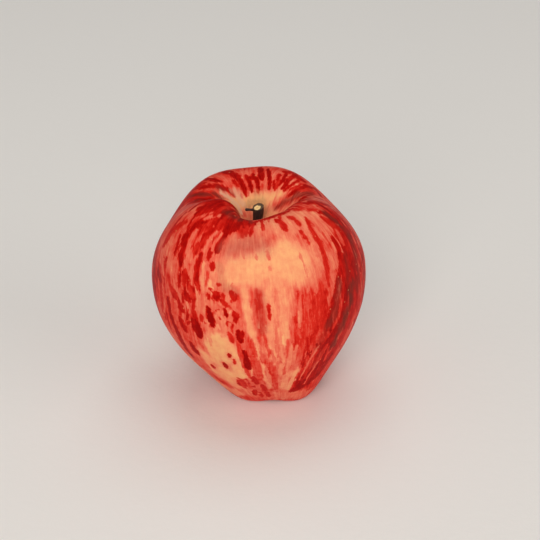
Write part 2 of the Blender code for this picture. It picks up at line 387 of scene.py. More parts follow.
# Fields of marks on the rest of the fruit, as (kind, count, then the least and the most of their start along
# the fruit, bearing, length and bend, and their width in pixels, tone and strength). More than two tones are
# a choice.
WASH_TONES = (0.32, 0.46, 0.72, 0.84)
STREAK_TONES = (0.36, 0.46, 0.72, 0.80, 0.88, 0.95)
BACK_FIELDS = (
    ("wash", 60, (4.6, 10.5), (-25.0, 195.0), (1.0, 3.4), (-6.0, 6.0), (5.0, 14.0), WASH_TONES, (0.4, 0.9)),
    ("streak", 300, (4.4, 11.5), (-30.0, 200.0), (0.4, 2.8), (-5.0, 5.0), (1.2, 4.6), STREAK_TONES, None),
    ("fleck", 120, (6.5, 12.3), (-35.0, 205.0), (0.1, 0.6), (-1.5, 1.5), (1.8, 4.6), (0.76, 0.97), None),
    ("fleck", 60, (2.7, 3.8), (170.0, 375.0), (0.8, 1.6), None, (2.0, 4.2), (0.70, 0.95), None),
    ("fleck", 26, (1.9, 2.7), (185.0, 262.0), (0.8, 1.6), None, (1.2, 2.8), (0.44, 0.86), None),
    ("streak", 60, (11.6, 13.8), (0.0, 360.0), (0.3, 1.2), (-3.0, 3.0), (1.6, 4.0), (0.55, 0.85), None),
)
# Thin lines that make the skin redder or paler, in the same form with the change in place of the tone
TOUCHES = ("touch", 700, (2.8, 12.0), (0.0, 360.0), (0.3, 1.8), (-4.0, 4.0), (1.4, 4.5), (-0.15, 0.13), None)
BACK_SOFTNESS = 7.0
SMALL_BEND = (-2.0, 2.0)
# Pale cheeks at the back as (bearing, spread, place along, spread along, change of tone)
CHEEKS = ((62.0, 30.0, 9.0, 2.4, -0.60), (128.0, 16.0, 10.6, 1.6, -0.36))
BACK_DEEPER = 0.04
# Bands all round as (from, full, tone, strength), and the same of russet without a tone
TONE_BANDS = ((11.5, 13.5, 0.40, 0.8), (3.8, 2.6, 0.14, 1.0))
RUSSET_BANDS = ((15.0, 16.4, 0.8), (2.0, 0.9, 0.5))
FRONT_SEED = 11
BACK_SEED = 7
CALYX_SEED = 3

# Broad washes of the skin, in the order they are painted: (path in pixels, width, softness, tone, strength).
# A tone of 0 is the orange yellow ground, 0.5 salmon and 1 the deepest red.
FLANK_WASHES = (
    (((166, 230), (164, 280), (180, 330), (196, 352)), 56, 18, 0.55, 1.0),
    (((200, 232), (196, 262), (204, 292)), 34, 14, 0.50, 0.9),
    (((207, 290), (212, 318)), 30, 12, 0.31, 0.85),
    (((228, 300), (234, 330)), 18, 10, 0.40, 0.8),
    (((168, 246), (168, 262)), 9, 8, 0.34, 0.85),
    (((184, 214), (206, 207), (222, 211)), 9, 6, 0.44, 0.9),
    (((160, 236), (170, 216), (184, 203)), 8, 6, 0.76, 0.9),
    (((196, 226), (216, 222), (244, 226)), 12, 7, 0.80, 0.85),
    (((268, 226), (292, 220), (318, 222), (330, 234)), 24, 14, 0.26, 1.0),
    (((322, 232), (334, 262), (334, 284)), 20, 10, 0.45, 1.0),
    (((314, 244), (322, 264), (322, 282)), 9, 7, 0.30, 0.9),
    # Deep red down the right edge and over the lower right: the blush and painted shade on the dark side in
    # one
    (((340, 224), (350, 250), (354, 285), (346, 320), (334, 345)), 20, 13, 0.91, 1.0),
    (((328, 350), (300, 388)), 20, 8, 0.92, 0.95),
    (((318, 344), (306, 372)), 12, 8, 0.66, 0.8),
    (((250, 392), (275, 396), (302, 394)), 14, 8, 0.38, 0.95),
    (((354, 318), (343, 343), (330, 362), (314, 381)), 8, 5, 0.62, 1.0),
    (((240, 344), (250, 372), (262, 390)), 16, 8, 0.54, 0.9),
    (((281, 300), (283, 350)), 36, 12, 0.33, 0.9),
    (((298, 350), (292, 370)), 16, 8, 0.44, 0.8),
    (((312, 288), (312, 318), (305, 342)), 34, 14, 0.62, 1.0),
    (((321, 298), (319, 326)), 10, 8, 0.72, 0.9),
    (((299, 294), (301, 330)), 8, 6, 0.54, 0.7),
    (((219, 345), (223, 358), (233, 373)), 28, 9, 0.04, 0.95),
    (((203, 354), (217, 371), (238, 386)), 12, 8, 0.10, 0.9),
    (((172, 334), (186, 356)), 5, 5, 0.34, 0.8),
    (((186, 356), (206, 376), (236, 393)), 10, 6, 0.20, 0.9),
    (((228, 348), (236, 366)), 13, 8, 0.08, 0.9),
    (((214, 364), (226, 368)), 6, 7, 0.30, 0.6),
    # The pale patch in front: the orange yellow ground and a painted highlight in one
    (((230, 271), (262, 272), (292, 268)), 32, 14, 0.13, 1.0),
    (((286, 252), (298, 258), (298, 270)), 28, 16, 0.11, 1.0),
    (((262, 262), (280, 256)), 26, 12, 0.07, 0.9),
    (((240, 268), (258, 274)), 12, 12, 0.10, 0.7),
    (((286, 248), (302, 260)), 12, 12, 0.06, 0.7),
    (((306, 238), (317, 256), (317, 276)), 9, 10, 0.26, 0.8),
    (((296, 284), (312, 282)), 7, 9, 0.26, 0.7),
    (((262, 284), (276, 282)), 7, 8, 0.20, 0.6),
    (((268, 254), (272, 268)), 6, 8, 0.16, 0.6),
    (((222, 264), (220, 278), (224, 290)), 8, 7, 0.28, 0.8),
    (((226, 250), (236, 242), (250, 240), (264, 241)), 14, 16, 0.47, 0.9),
    (((236, 240), (262, 236)), 9, 8, 0.42, 0.8),
    (((216, 256), (224, 246), (234, 238)), 8, 6, 0.42, 0.8),
    (((242, 286), (248, 312), (252, 334)), 9, 8, 0.12, 0.95),
    (((156, 254), (154, 280), (157, 306)), 8, 6, 0.88, 1.0),
    # Deep red at the right edge: the blush and painted shade in one
    (((362, 250), (365, 280), (361, 306)), 9, 6, 0.90, 1.0),
    (((252, 334), (258, 352), (263, 368)), 6, 4, 0.14, 0.9),
    (((256, 294), (260, 312), (263, 332)), 8, 5, 0.60, 0.95),
    (((258, 296), (260, 306)), 4, 4, 0.70, 0.8),
    (((266, 284), (271, 302), (272, 330), (272, 358)), 8, 7, 0.20, 0.9),
    (((284, 288), (284, 318), (284, 344)), 10, 7, 0.17, 0.9),
    (((291, 290), (288, 320)), 5, 5, 0.24, 0.8),
    (((282, 366), (284, 378), (286, 388)), 10, 9, 0.22, 1.0),
    (((268, 328), (272, 346), (276, 364)), 7, 4, 0.20, 0.9),
    (((258, 352), (263, 370), (270, 388)), 5, 4, 0.14, 0.9),
    (((292, 374), (297, 371)), 4, 4, 0.16, 0.8),
)

# Streaks with ragged edges: (path in pixels, width, tone)
FLANK_STREAKS = (
    (((155, 252), (153, 275), (154, 296), (158, 311), (163, 322)), 4.5, 0.93),
    (((159, 264), (161, 290)), 4.5, 0.82),
    (((158, 270), (160, 280)), 5.0, 0.95),
    (((161, 290), (163, 312)), 3.0, 0.76),
    (((186, 221), (172, 231), (163, 246)), 5.0, 0.78),
    (((182, 206), (170, 219), (160, 238), (157, 250)), 4.0, 0.90),
    (((168, 275), (170, 290)), 3.0, 0.70),
    (((174, 240), (167, 256)), 2.0, 0.48),
    (((244, 217), (234, 220), (224, 226)), 6.0, 0.93),
    (((234, 212), (218, 214), (204, 219)), 5.0, 0.93),
    (((228, 206), (212, 206), (198, 210)), 5.0, 0.93),
    (((216, 201), (200, 200), (188, 204)), 5.0, 0.92),
    (((196, 216), (206, 211), (218, 209), (230, 213)), 3.0, 0.88),
    (((209, 218), (200, 222), (193, 230), (186, 240), (181, 254), (181, 265)), 4.6, 0.93),
    (((187, 234), (183, 246)), 6.0, 0.92),
    (((240, 222), (224, 220), (212, 224)), 4.0, 0.88),
    (((226, 225), (213, 230), (206, 236), (202, 244)), 4.6, 0.84),
    (((252, 224), (237, 226), (227, 231), (220, 240), (217, 252)), 7.0, 0.94),
    (((222, 238), (216, 248)), 6.0, 0.92),
    (((202, 253), (198, 263), (196, 275), (198, 289)), 4.6, 0.86),
    (((211, 249), (208, 260)), 4.0, 0.86),
    (((213, 263), (212, 269)), 4.4, 0.86),
    (((199, 243), (194, 252)), 4.0, 0.76),
    (((206, 238), (201, 248)), 3.6, 0.80),
    (((185, 270), (183, 286)), 4.0, 0.76),
    (((187, 274), (189, 290)), 3.6, 0.82),
    (((190, 264), (193, 276)), 3.0, 0.66),
    (((208, 272), (206, 286)), 2.6, 0.64),
    (((197, 229), (190, 240), (187, 256)), 2.8, 0.42),
    (((205, 219), (216, 215), (223, 216)), 3.0, 0.42),
    (((217, 231), (209, 241), (204, 252)), 2.4, 0.38),
    (((222, 233), (214, 244), (212, 250)), 2.2, 0.40),
    (((196, 256), (191, 270), (192, 284)), 2.4, 0.38),
    (((204, 262), (202, 280), (203, 292)), 2.6, 0.22),
    (((242, 226), (242, 237)), 3.4, 0.74),
    (((247, 226), (246, 236)), 4.0, 0.76),
    (((253, 224), (250, 236)), 3.0, 0.78),
    (((262, 219), (263, 230)), 3.0, 0.72),
    (((270, 216), (268, 222)), 2.0, 0.64),
    # A dark line along the hollow's front rim: painted shade
    (((252, 223), (262, 219), (272, 214), (284, 210), (293, 208)), 3.0, 0.84),
    (((294, 210), (302, 209)), 3.0, 0.74),
    (((308, 210), (316, 210)), 3.0, 0.74),
    (((304, 203), (318, 202), (330, 206), (339, 213)), 4.0, 0.90),
    (((318, 212), (328, 215), (336, 222)), 4.0, 0.88),
    (((322, 217), (334, 226), (342, 236), (348, 248)), 4.0, 0.74),
    (((306, 218), (312, 231), (320, 243), (325, 256), (327, 270), (328, 286)), 4.0, 0.74),
    (((332, 237), (338, 247), (341, 258), (340, 272), (336, 288)), 3.6, 0.86),
    (((340, 231), (346, 243), (350, 256), (348, 270)), 3.6, 0.84),
    (((336, 230), (344, 244)), 2.4, 0.50),
    (((337, 286), (334, 300), (330, 314), (327, 330)), 3.6, 0.88),
    (((343, 256), (345, 276), (343, 296)), 5.0, 0.86),
    (((348, 284), (345, 304), (340, 321), (333, 334), (325, 345), (318, 356)), 4.0, 0.94),
    (((342, 300), (339, 316), (333, 328)), 2.0, 0.60),
    (((352, 308), (345, 324), (336, 342), (329, 354)), 2.4, 0.56),
    (((358, 276), (355, 304), (348, 324), (340, 341), (330, 354)), 6.0, 0.84),
    (((362, 262), (363, 285), (360, 306)), 1.8, 0.60),
    (((351, 330), (344, 344), (338, 355)), 5.0, 0.66),
    (((334, 361), (323, 375), (309, 389)), 5.0, 0.68),
    (((332, 354), (325, 365), (317, 375), (308, 383), (298, 389)), 4.4, 0.94),
    (((314, 367), (306, 379), (297, 386)), 3.6, 0.95),
    (((304, 371), (296, 383)), 3.2, 0.90),
    (((327, 345), (321, 355), (314, 367)), 4.0, 0.62),
    (((319, 346), (311, 358), (304, 371), (299, 380)), 1.4, 0.38),
    (((318, 362), (309, 375), (304, 384)), 1.4, 0.40),
    (((292, 391), (300, 387)), 5.4, 0.97),
    (((307, 338), (308, 351)), 3.2, 0.80),
    (((313, 334), (310, 343)), 2.4, 0.80),
    (((318, 321), (316, 333)), 3.2, 0.80),
    (((326, 290), (325, 304)), 3.4, 0.78),
    (((326, 310), (323, 324)), 3.0, 0.76),
    (((314, 300), (313, 316)), 2.6, 0.72),
    (((300, 296), (301, 322)), 2.0, 0.42),
    (((309, 284), (308, 292)), 2.6, 0.36),
    (((316, 284), (316, 292)), 3.0, 0.40),
    (((304, 340), (300, 362)), 3.0, 0.56),
    (((263, 330), (267, 346), (271, 360)), 3.4, 0.60),
    (((256, 300), (259, 312)), 3.0, 0.68),
    (((260, 311), (262, 322), (264, 332)), 5.0, 0.54),
    (((269, 356), (273, 370), (277, 388)), 3.6, 0.60),
    (((276, 290), (277, 306)), 2.4, 0.34),
    (((277, 322), (276, 352)), 2.6, 0.40),
    (((280, 346), (278, 368)), 4.0, 0.46),
    (((288, 340), (288, 360), (284, 374)), 4.6, 0.56),
    (((291, 322), (293, 342)), 3.4, 0.46),
    (((297, 346), (292, 364)), 3.6, 0.38),
    (((283.5, 335), (283.5, 344)), 2.0, 0.0),
    (((237, 342), (243, 362), (250, 378)), 4.0, 0.62),
    (((251, 340), (257, 362), (262, 378)), 5.0, 0.60),
    (((281, 346), (281, 370)), 3.0, 0.24),
    (((292, 344), (290, 358), (287, 370)), 3.6, 0.30),
    (((297, 370), (292, 379), (288, 390)), 3.6, 0.14),
    (((266, 368), (271, 384)), 2.6, 0.34),
    (((206, 304), (209, 328), (211, 346)), 2.4, 0.30),
    (((222, 318), (226, 336)), 4.0, 0.30),
    (((186, 296), (189, 312)), 2.2, 0.32),
    (((178, 330), (184, 344)), 2.0, 0.50),
    (((181, 300), (178, 292)), 1.8, 0.42),
    (((210, 281), (211, 290)), 4.4, 0.12),
)

# Crisp flecks, in the same form
FLANK_FLECKS = (
    (((168, 298), (170, 311), (174, 325)), 3.2, 0.92),
    (((173, 322), (180, 338), (187, 350), (192, 356)), 4.4, 0.93),
    (((194, 322), (197, 329), (200, 336)), 7.4, 0.96),
    (((192, 320), (195, 322)), 4.0, 0.92),
    (((207.5, 307), (209, 314)), 3.6, 0.94),
    (((209, 313), (213, 325)), 6.0, 0.97),
    (((201, 315), (202, 321)), 3.4, 0.72),
    (((191, 343), (194, 349), (198, 354)), 4.6, 0.92),
    (((180, 318), (186, 331)), 3.6, 0.84),
    (((186, 294), (189, 301)), 5.4, 0.88),
    (((183, 294), (183, 302)), 2.2, 0.82),
    (((180, 305), (182, 310)), 5.0, 0.84),
    (((183, 309), (185, 313)), 2.2, 0.78),
    (((193.5, 303), (193.5, 310)), 2.0, 0.78),
    (((174, 291), (176, 298)), 4.0, 0.76),
    (((190, 288), (192, 297)), 3.6, 0.70),
    (((170, 284), (172, 291)), 3.0, 0.74),
    (((165, 314), (166, 319)), 2.2, 0.80),
    (((209, 295), (209, 298)), 3.2, 0.78),
    (((215, 293), (217, 299)), 6.6, 0.87),
    (((213, 292), (219, 294)), 3.2, 0.84),
    (((217, 284), (220, 285)), 2.6, 0.72),
    (((223, 294), (224, 298)), 3.2, 0.74),
    (((221, 300), (227, 306)), 4.0, 0.76),
    (((224, 309), (227, 315)), 2.6, 0.88),
    (((226, 313), (227, 316)), 3.0, 0.94),
    (((231, 292), (234, 300)), 5.0, 0.82),
    (((236, 294), (235, 300)), 2.8, 0.78),
    (((234, 312), (236, 322)), 4.6, 0.88),
    (((237, 313), (238, 317)), 3.4, 0.82),
    (((229, 333), (232, 342)), 4.4, 0.74),
    (((238, 331), (241, 342)), 5.4, 0.93),
    (((242, 331), (242, 338)), 3.2, 0.86),
    (((244, 351), (247, 360)), 4.0, 0.95),
    (((246, 359), (249, 369)), 6.0, 0.98),
    (((229, 354), (229.5, 357)), 3.0, 0.86),
    (((234, 359), (235, 364)), 2.8, 0.76),
    (((212, 365), (214, 368)), 3.4, 0.90),
    (((224, 363), (227, 368)), 4.2, 0.94),
    (((239, 380), (241, 385)), 5.6, 0.76),
    (((242, 380), (245, 388)), 5.0, 0.72),
    (((253, 377), (257, 384)), 5.4, 0.82),
    (((255, 390), (255, 395)), 5.0, 0.80),
    (((262, 385), (266, 391)), 4.6, 0.80),
    (((266, 391), (269, 397)), 4.0, 0.78),
    (((260, 392), (262, 397)), 3.2, 0.70),
    (((268, 305), (269, 311)), 3.6, 0.78),
    (((269, 314), (270, 319)), 2.8, 0.76),
    (((276, 220), (282, 223)), 4.4, 0.78),
    (((281, 222), (286, 230)), 5.4, 0.76),
    (((279, 215), (280, 219)), 2.6, 0.74),
    (((289, 217), (294, 219)), 3.4, 0.74),
    (((295, 220), (300, 225)), 3.2, 0.70),
    (((301, 231), (301.6, 233)), 3.0, 0.72),
    (((304, 236), (306, 238.5)), 3.6, 0.74),
    (((308, 241), (309, 244)), 3.2, 0.68),
    (((267, 240), (267, 246)), 3.2, 0.52),
    (((267, 250), (269, 260)), 2.6, 0.44),
    (((243, 252), (244, 258)), 2.2, 0.42),
    (((256, 254), (257, 259)), 2.2, 0.40),
    (((269, 267), (271, 270)), 2.4, 0.28),
    (((232, 284), (234, 290)), 3.0, 0.40),
    (((304, 380), (298, 387)), 4.4, 0.98),
)

# The same for the hollow and the crest behind it
HOLLOW_WASHES = (
    (((196, 186), (226, 173), (262, 170), (300, 176), (330, 196)), 26, 12, 0.57, 1.0),
    (((246, 176), (262, 182), (276, 178)), 16, 8, 0.44, 0.8),
    (((238, 206), (252, 202), (272, 202), (292, 190)), 20, 8, 0.0, 1.0),
    (((246, 214), (252, 219)), 12, 8, 0.40, 0.9),
    (((266, 212), (272, 208)), 8, 6, 0.24, 0.8),
    # Deep red on the hollow's left and right walls: the blush and painted shade in one
    (((184, 198), (206, 198), (226, 206), (244, 220)), 14, 6, 0.88, 1.0),
    (((278, 206), (296, 194), (314, 190)), 12, 7, 0.66, 0.9),
    (((292, 206), (312, 199), (330, 204)), 7, 5, 0.50, 0.9),
    (((206, 176), (226, 169), (250, 167)), 2.4, 3, 0.24, 0.8),
    (((282, 168), (300, 173)), 2.4, 3, 0.26, 0.8),
    (((308, 184), (320, 194)), 2.4, 3, 0.30, 0.7),
)
HOLLOW_STREAKS = (
    (((220, 171), (232, 173), (239, 179), (243, 187), (246, 195)), 5.0, 0.93),
    (((228, 171), (238, 176)), 6.0, 0.92),
    (((205, 179), (214, 180), (222, 181)), 3.6, 0.94),
    (((200, 189), (209, 186), (219, 186), (229, 190), (235, 196)), 3.6, 0.90),
    (((198, 187), (206, 182)), 2.4, 0.84),
    (((194, 194), (186, 200)), 3.0, 0.80),
    (((198, 197), (210, 196), (224, 200)), 2.4, 0.74),
    (((215, 202), (222, 201)), 2.4, 0.50),
    (((214, 176), (228, 180), (237, 188)), 4.0, 0.52),
    (((289, 196), (297, 189), (306, 186), (315, 189), (324, 196)), 3.6, 0.90),
    (((284, 172), (295, 173)), 3.2, 0.86),
    (((295, 175), (304, 181)), 5.0, 0.90),
    (((302, 184), (290, 190)), 2.4, 0.74),
    (((286, 200), (300, 194)), 2.6, 0.50),
    (((300, 198), (314, 196), (326, 199)), 2.6, 0.40),
    (((240, 210), (246, 216)), 3.0, 0.50),
)
HOLLOW_FLECKS = (
    (((246, 175), (250, 184), (252, 192)), 3.8, 0.94),
    (((253, 174), (257, 182), (259, 190)), 3.6, 0.94),
    (((250, 178), (255, 177)), 4.0, 0.90),
    (((260, 168), (262, 179)), 6.0, 0.93),
    (((258, 190), (258, 193)), 2.0, 0.70),
    (((268, 169), (270, 180), (269, 189)), 3.4, 0.93),
    (((262, 184), (262, 190)), 1.8, 0.62),
    (((274, 181), (275, 189)), 3.0, 0.84),
    (((280, 174), (277, 182)), 3.0, 0.86),
    (((278, 182), (275, 190)), 2.4, 0.72),
    (((287, 172), (283, 180), (279, 185)), 3.0, 0.88),
    (((296, 174), (288, 181), (282, 189)), 3.6, 0.88),
    (((300, 179), (293, 184), (286, 189)), 2.8, 0.86),
    (((290, 186), (284, 191)), 2.4, 0.80),
    (((241, 194), (242, 198)), 2.0, 0.62),
    (((248, 190), (248, 196)), 1.8, 0.52),
    (((233, 181), (238, 186)), 3.0, 0.80),
    (((252, 168), (254, 172)), 2.6, 0.60),
)

# Fields of small marks that run down the fruit: (kind, count, box in pixels, then the least and the most of
# their length in spans of the outline, width in pixels and tone)
SMALL_FIELDS = (
    ("fleck", 38, (184, 282, 232, 330), (0.03, 0.13), (1.2, 2.8), (0.58, 0.84)),
    ("fleck", 16, (196, 290, 232, 336), (0.06, 0.20), (1.8, 3.2), (0.20, 0.34)),
    ("streak", 32, (156, 240, 200, 320), (0.20, 0.60), (1.8, 3.4), (0.74, 0.94)),
    ("streak", 26, (160, 236, 204, 312), (0.20, 0.60), (1.6, 3.0), (0.34, 0.46)),
    ("streak", 24, (296, 286, 332, 350), (0.20, 0.60), (1.6, 3.2), (0.58, 0.80)),
    ("streak", 16, (300, 208, 338, 262), (0.30, 0.80), (1.8, 3.4), (0.30, 0.42)),
    ("streak", 5, (306, 208, 338, 240), (0.20, 0.60), (1.4, 2.4), (0.54, 0.72)),
    ("streak", 22, (330, 220, 362, 330), (0.30, 0.80), (1.6, 3.2), (0.86, 0.98)),
    ("streak", 12, (334, 240, 366, 340), (0.30, 0.80), (1.4, 2.6), (0.60, 0.70)),
    ("streak", 14, (302, 340, 340, 386), (0.20, 0.50), (1.4, 2.8), (0.84, 0.96)),
    ("streak", 12, (300, 340, 338, 386), (0.20, 0.50), (1.2, 2.2), (0.54, 0.66)),
    ("streak", 18, (238, 300, 300, 380), (0.20, 0.60), (1.4, 2.8), (0.40, 0.54)),
    ("streak", 14, (240, 300, 300, 380), (0.20, 0.60), (1.4, 2.6), (0.16, 0.28)),
    ("fleck", 8, (236, 374, 262, 394), (0.04, 0.12), (1.6, 3.2), (0.60, 0.84)),
    ("streak", 24, (176, 198, 230, 236), (0.20, 0.60), (1.6, 3.0), (0.82, 0.97)),
    ("streak", 16, (176, 204, 226, 240), (0.20, 0.50), (1.4, 2.6), (0.44, 0.60)),
)

# Painted shade in a dark brown red, on the dark right side and by the hollow's rim; a few strokes in the
# middle dull the skin's colour: (path in pixels, width, softness, strength)
FLANK_PAINTED_SHADES = (
    (((326, 214), (336, 221), (345, 231), (352, 242), (356, 254)), 4, 4, 0.85),
    (((354, 250), (358, 270), (357, 290)), 5, 5, 0.55),
    (((352, 284), (350, 305), (344, 321), (338, 335), (333, 345)), 6, 4, 0.90),
    (((340, 284), (338, 300), (334, 314), (329, 324)), 6, 4, 0.65),
    (((346, 256), (348, 280)), 5, 5, 0.45),
    (((361, 258), (363, 276), (361, 296)), 2, 3, 0.60),
    (((326, 330), (318, 346)), 6, 5, 0.32),
    (((322, 352), (312, 368)), 6, 5, 0.26),
    (((230, 249), (246, 245), (262, 247)), 16, 16, 0.32),
    (((219, 266), (222, 284)), 7, 6, 0.20),
    (((226, 288), (236, 292)), 8, 6, 0.25),
    (((258, 294), (262, 330)), 9, 7, 0.26),
    (((216, 344), (226, 366)), 18, 10, 0.08),
    (((224, 212), (238, 218)), 5, 4, 0.55),
)
# Painted shade on the walls of the hollow and along its front rim, in the same form
HOLLOW_PAINTED_SHADES = (
    (((186, 197), (200, 194), (215, 194), (226, 200)), 3.4, 3, 0.80),
    (((198, 200), (212, 200)), 3, 3, 0.60),
    (((214, 211), (228, 213), (240, 220), (250, 222)), 5, 4, 0.75),
    (((232, 206), (242, 218)), 5, 4, 0.60),
    (((216, 188), (225, 190)), 3, 3, 0.55),
    (((276, 208), (285, 202), (295, 196), (304, 194), (313, 194)), 5, 4, 0.70),
    (((298, 196), (312, 194)), 2.4, 2, 0.60),
    (((249, 221), (258, 221)), 3, 3, 0.50),
    (((262, 208), (264, 216)), 4, 4, 0.30),
)

# Grey cream scarf skin and olive russet, in the same form
HOLLOW_SCARF = (
    (((221, 193), (230, 198), (236, 204), (242, 213)), 4.0, 2, 1.0),
    (((234, 190), (239, 198), (243, 205)), 5.0, 4, 0.70),
)
FLANK_SCARF = (
    (((228, 251), (242, 247), (262, 249)), 14, 16, 0.16),
)
HOLLOW_RUSSET = (
    (((248, 205), (254, 201), (262, 202)), 7, 5, 0.75),
    (((257, 196), (260, 201)), 9, 8, 0.45),
    (((246, 204), (250, 206)), 4, 4, 0.50),
    (((264, 205), (266, 213)), 4, 5, 0.50),
)


def linear(red, green, blue):
    """A display colour of 0 to 255 as scene linear values."""
    shares = [value / 255.0 for value in (red, green, blue)]
    return tuple(s / 12.92 if s <= 0.04045 else ((s + 0.055) / 1.055) ** 2.4 for s in shares)


class AppleShape(bpy.types.PropertyGroup):
    """Sizes of the apple's surface detail."""

    undulation: bpy.props.FloatProperty(
        name="Undulation",
        description="Depth of the broad dents that keep the flanks from being evenly turned",
        default=0.00022,
        min=0.0,
        unit="LENGTH",
    )
    hollow_folds: bpy.props.FloatProperty(
        name="Hollow folds",
        description="Depth of the small folds that run into the stem's hollow",
        default=0.00016,
        min=0.0,
        unit="LENGTH",
    )
    basin_folds: bpy.props.FloatProperty(
        name="Basin folds",
        description="Depth of the pleats round the calyx",
        default=0.00035,
        min=0.0,
        unit="LENGTH",
    )
    stem_root: bpy.props.FloatProperty(
        name="Stem root radius",
        description="Radius of the stem where it leaves the fruit",
        default=0.0018,
        unit="LENGTH",
    )
    stem_head: bpy.props.FloatProperty(
        name="Stem head radius",
        description="Radius of the stem at its cut",
        default=0.00203,
        unit="LENGTH",
    )
    stem_height: bpy.props.FloatProperty(
        name="Stem height",
        description="Height of the cut above the floor of the hollow",
        default=0.0096,
        unit="LENGTH",
    )
    sepal_length: bpy.props.FloatProperty(
        name="Sepal length",
        description="Reach of a dried sepal below the calyx disc",
        default=0.0048,
        unit="LENGTH",
    )


class AppleColours(bpy.types.PropertyGroup):
    """Colours of the skin, the stem and the calyx."""

    ground: bpy.props.FloatVectorProperty(
        name="Ground",
        description="Orange yellow of the skin where it has least red",
        subtype="COLOR",
        default=linear(243, 176, 120),
    )
    peach: bpy.props.FloatVectorProperty(
        name="Peach",
        description="Skin with a first wash of red",
        subtype="COLOR",
        default=linear(237, 135, 100),
    )
    salmon: bpy.props.FloatVectorProperty(
        name="Salmon",
        description="Skin with a thin wash of red",
        subtype="COLOR",
        default=linear(227, 94, 73),
    )
    red: bpy.props.FloatVectorProperty(
        name="Red",
        description="The blush",
        subtype="COLOR",
        default=linear(216, 45, 31),
    )
    crimson: bpy.props.FloatVectorProperty(
        name="Crimson",
        description="Streaks in the blush",
        subtype="COLOR",
        default=linear(190, 18, 10),
    )
    deep: bpy.props.FloatVectorProperty(
        name="Deep red",
        description="Flecks and the darkest streaks",
        subtype="COLOR",
        default=linear(150, 5, 4),
    )
    # The colour of the painted shade on the dark side and in the hollow
    shade_colour: bpy.props.FloatVectorProperty(
        name="Maroon",
        description="Brown shade in the blush on the dark side",
        subtype="COLOR",
        default=linear(116, 40, 32),
    )
    russet: bpy.props.FloatVectorProperty(
        name="Russet",
        description="Olive brown cork round the stem",
        subtype="COLOR",
        default=linear(176, 138, 92),
    )
    scarf: bpy.props.FloatVectorProperty(
        name="Scarf skin",
        description="Grey cream film on the walls of the hollow",
        subtype="COLOR",
        default=linear(232, 182, 146),
    )
    bark: bpy.props.FloatVectorProperty(
        name="Bark",
        description="The stem's bark",
        subtype="COLOR",
        default=linear(58, 36, 32),
    )
    wood: bpy.props.FloatVectorProperty(
        name="Cut wood",
        description="The pale wood of the stem's cut",
        subtype="COLOR",
        default=linear(252, 214, 146),
    )
    husk: bpy.props.FloatVectorProperty(
        name="Dried calyx",
        description="The dry sepals",
        subtype="COLOR",
        default=linear(134, 102, 72),
    )


class AppleStage(bpy.types.PropertyGroup):
    """The camera, the lights and the floor."""

    elevation: bpy.props.FloatProperty(
        name="Camera elevation",
        description="Angle of the view above the level of the floor",
        default=math.radians(31.0),
        subtype="ANGLE",
    )
    distance: bpy.props.FloatProperty(
        name="Camera distance",
        description="From the camera to the middle of the fruit",
        default=0.6,
        unit="LENGTH",
    )
    floor_colour: bpy.props.FloatVectorProperty(
        name="Floor",
        description="Colour of the floor",
        subtype="COLOR",
        default=linear(238, 235, 230),
    )
    key_power: bpy.props.FloatProperty(
        name="Key light",
        description="Power of the soft light in front, a little to the left",
        default=19.3,
        unit="POWER",
    )
    fill_power: bpy.props.FloatProperty(
        name="Fill light",
        description="Power of the wide light at the right, which the left and top lights are shares of",
        default=9.9,
        unit="POWER",
    )


def settings():
    """The three groups of settings of this scene."""
    scene = bpy.context.scene
    return scene.apple_shape, scene.apple_colours, scene.apple_stage


class Value:
    """A shader socket that arithmetic on it turns into Math nodes."""

    def __init__(self, shader, socket):
        self.shader = shader
        self.socket = socket

    def _math(self, operation, first, second):
        return self.shader.node("ShaderNodeMath", {"operation": operation}, {0: first, 1: second})

    def __add__(self, other):
        return self._math("ADD", self, other)

    def __radd__(self, other):
        return self._math("ADD", other, self)

    def __sub__(self, other):
        return self._math("SUBTRACT", self, other)

    def __rsub__(self, other):
        return self._math("SUBTRACT", other, self)

    def __mul__(self, other):
        return self._math("MULTIPLY", self, other)

    def __rmul__(self, other):
        return self._math("MULTIPLY", other, self)


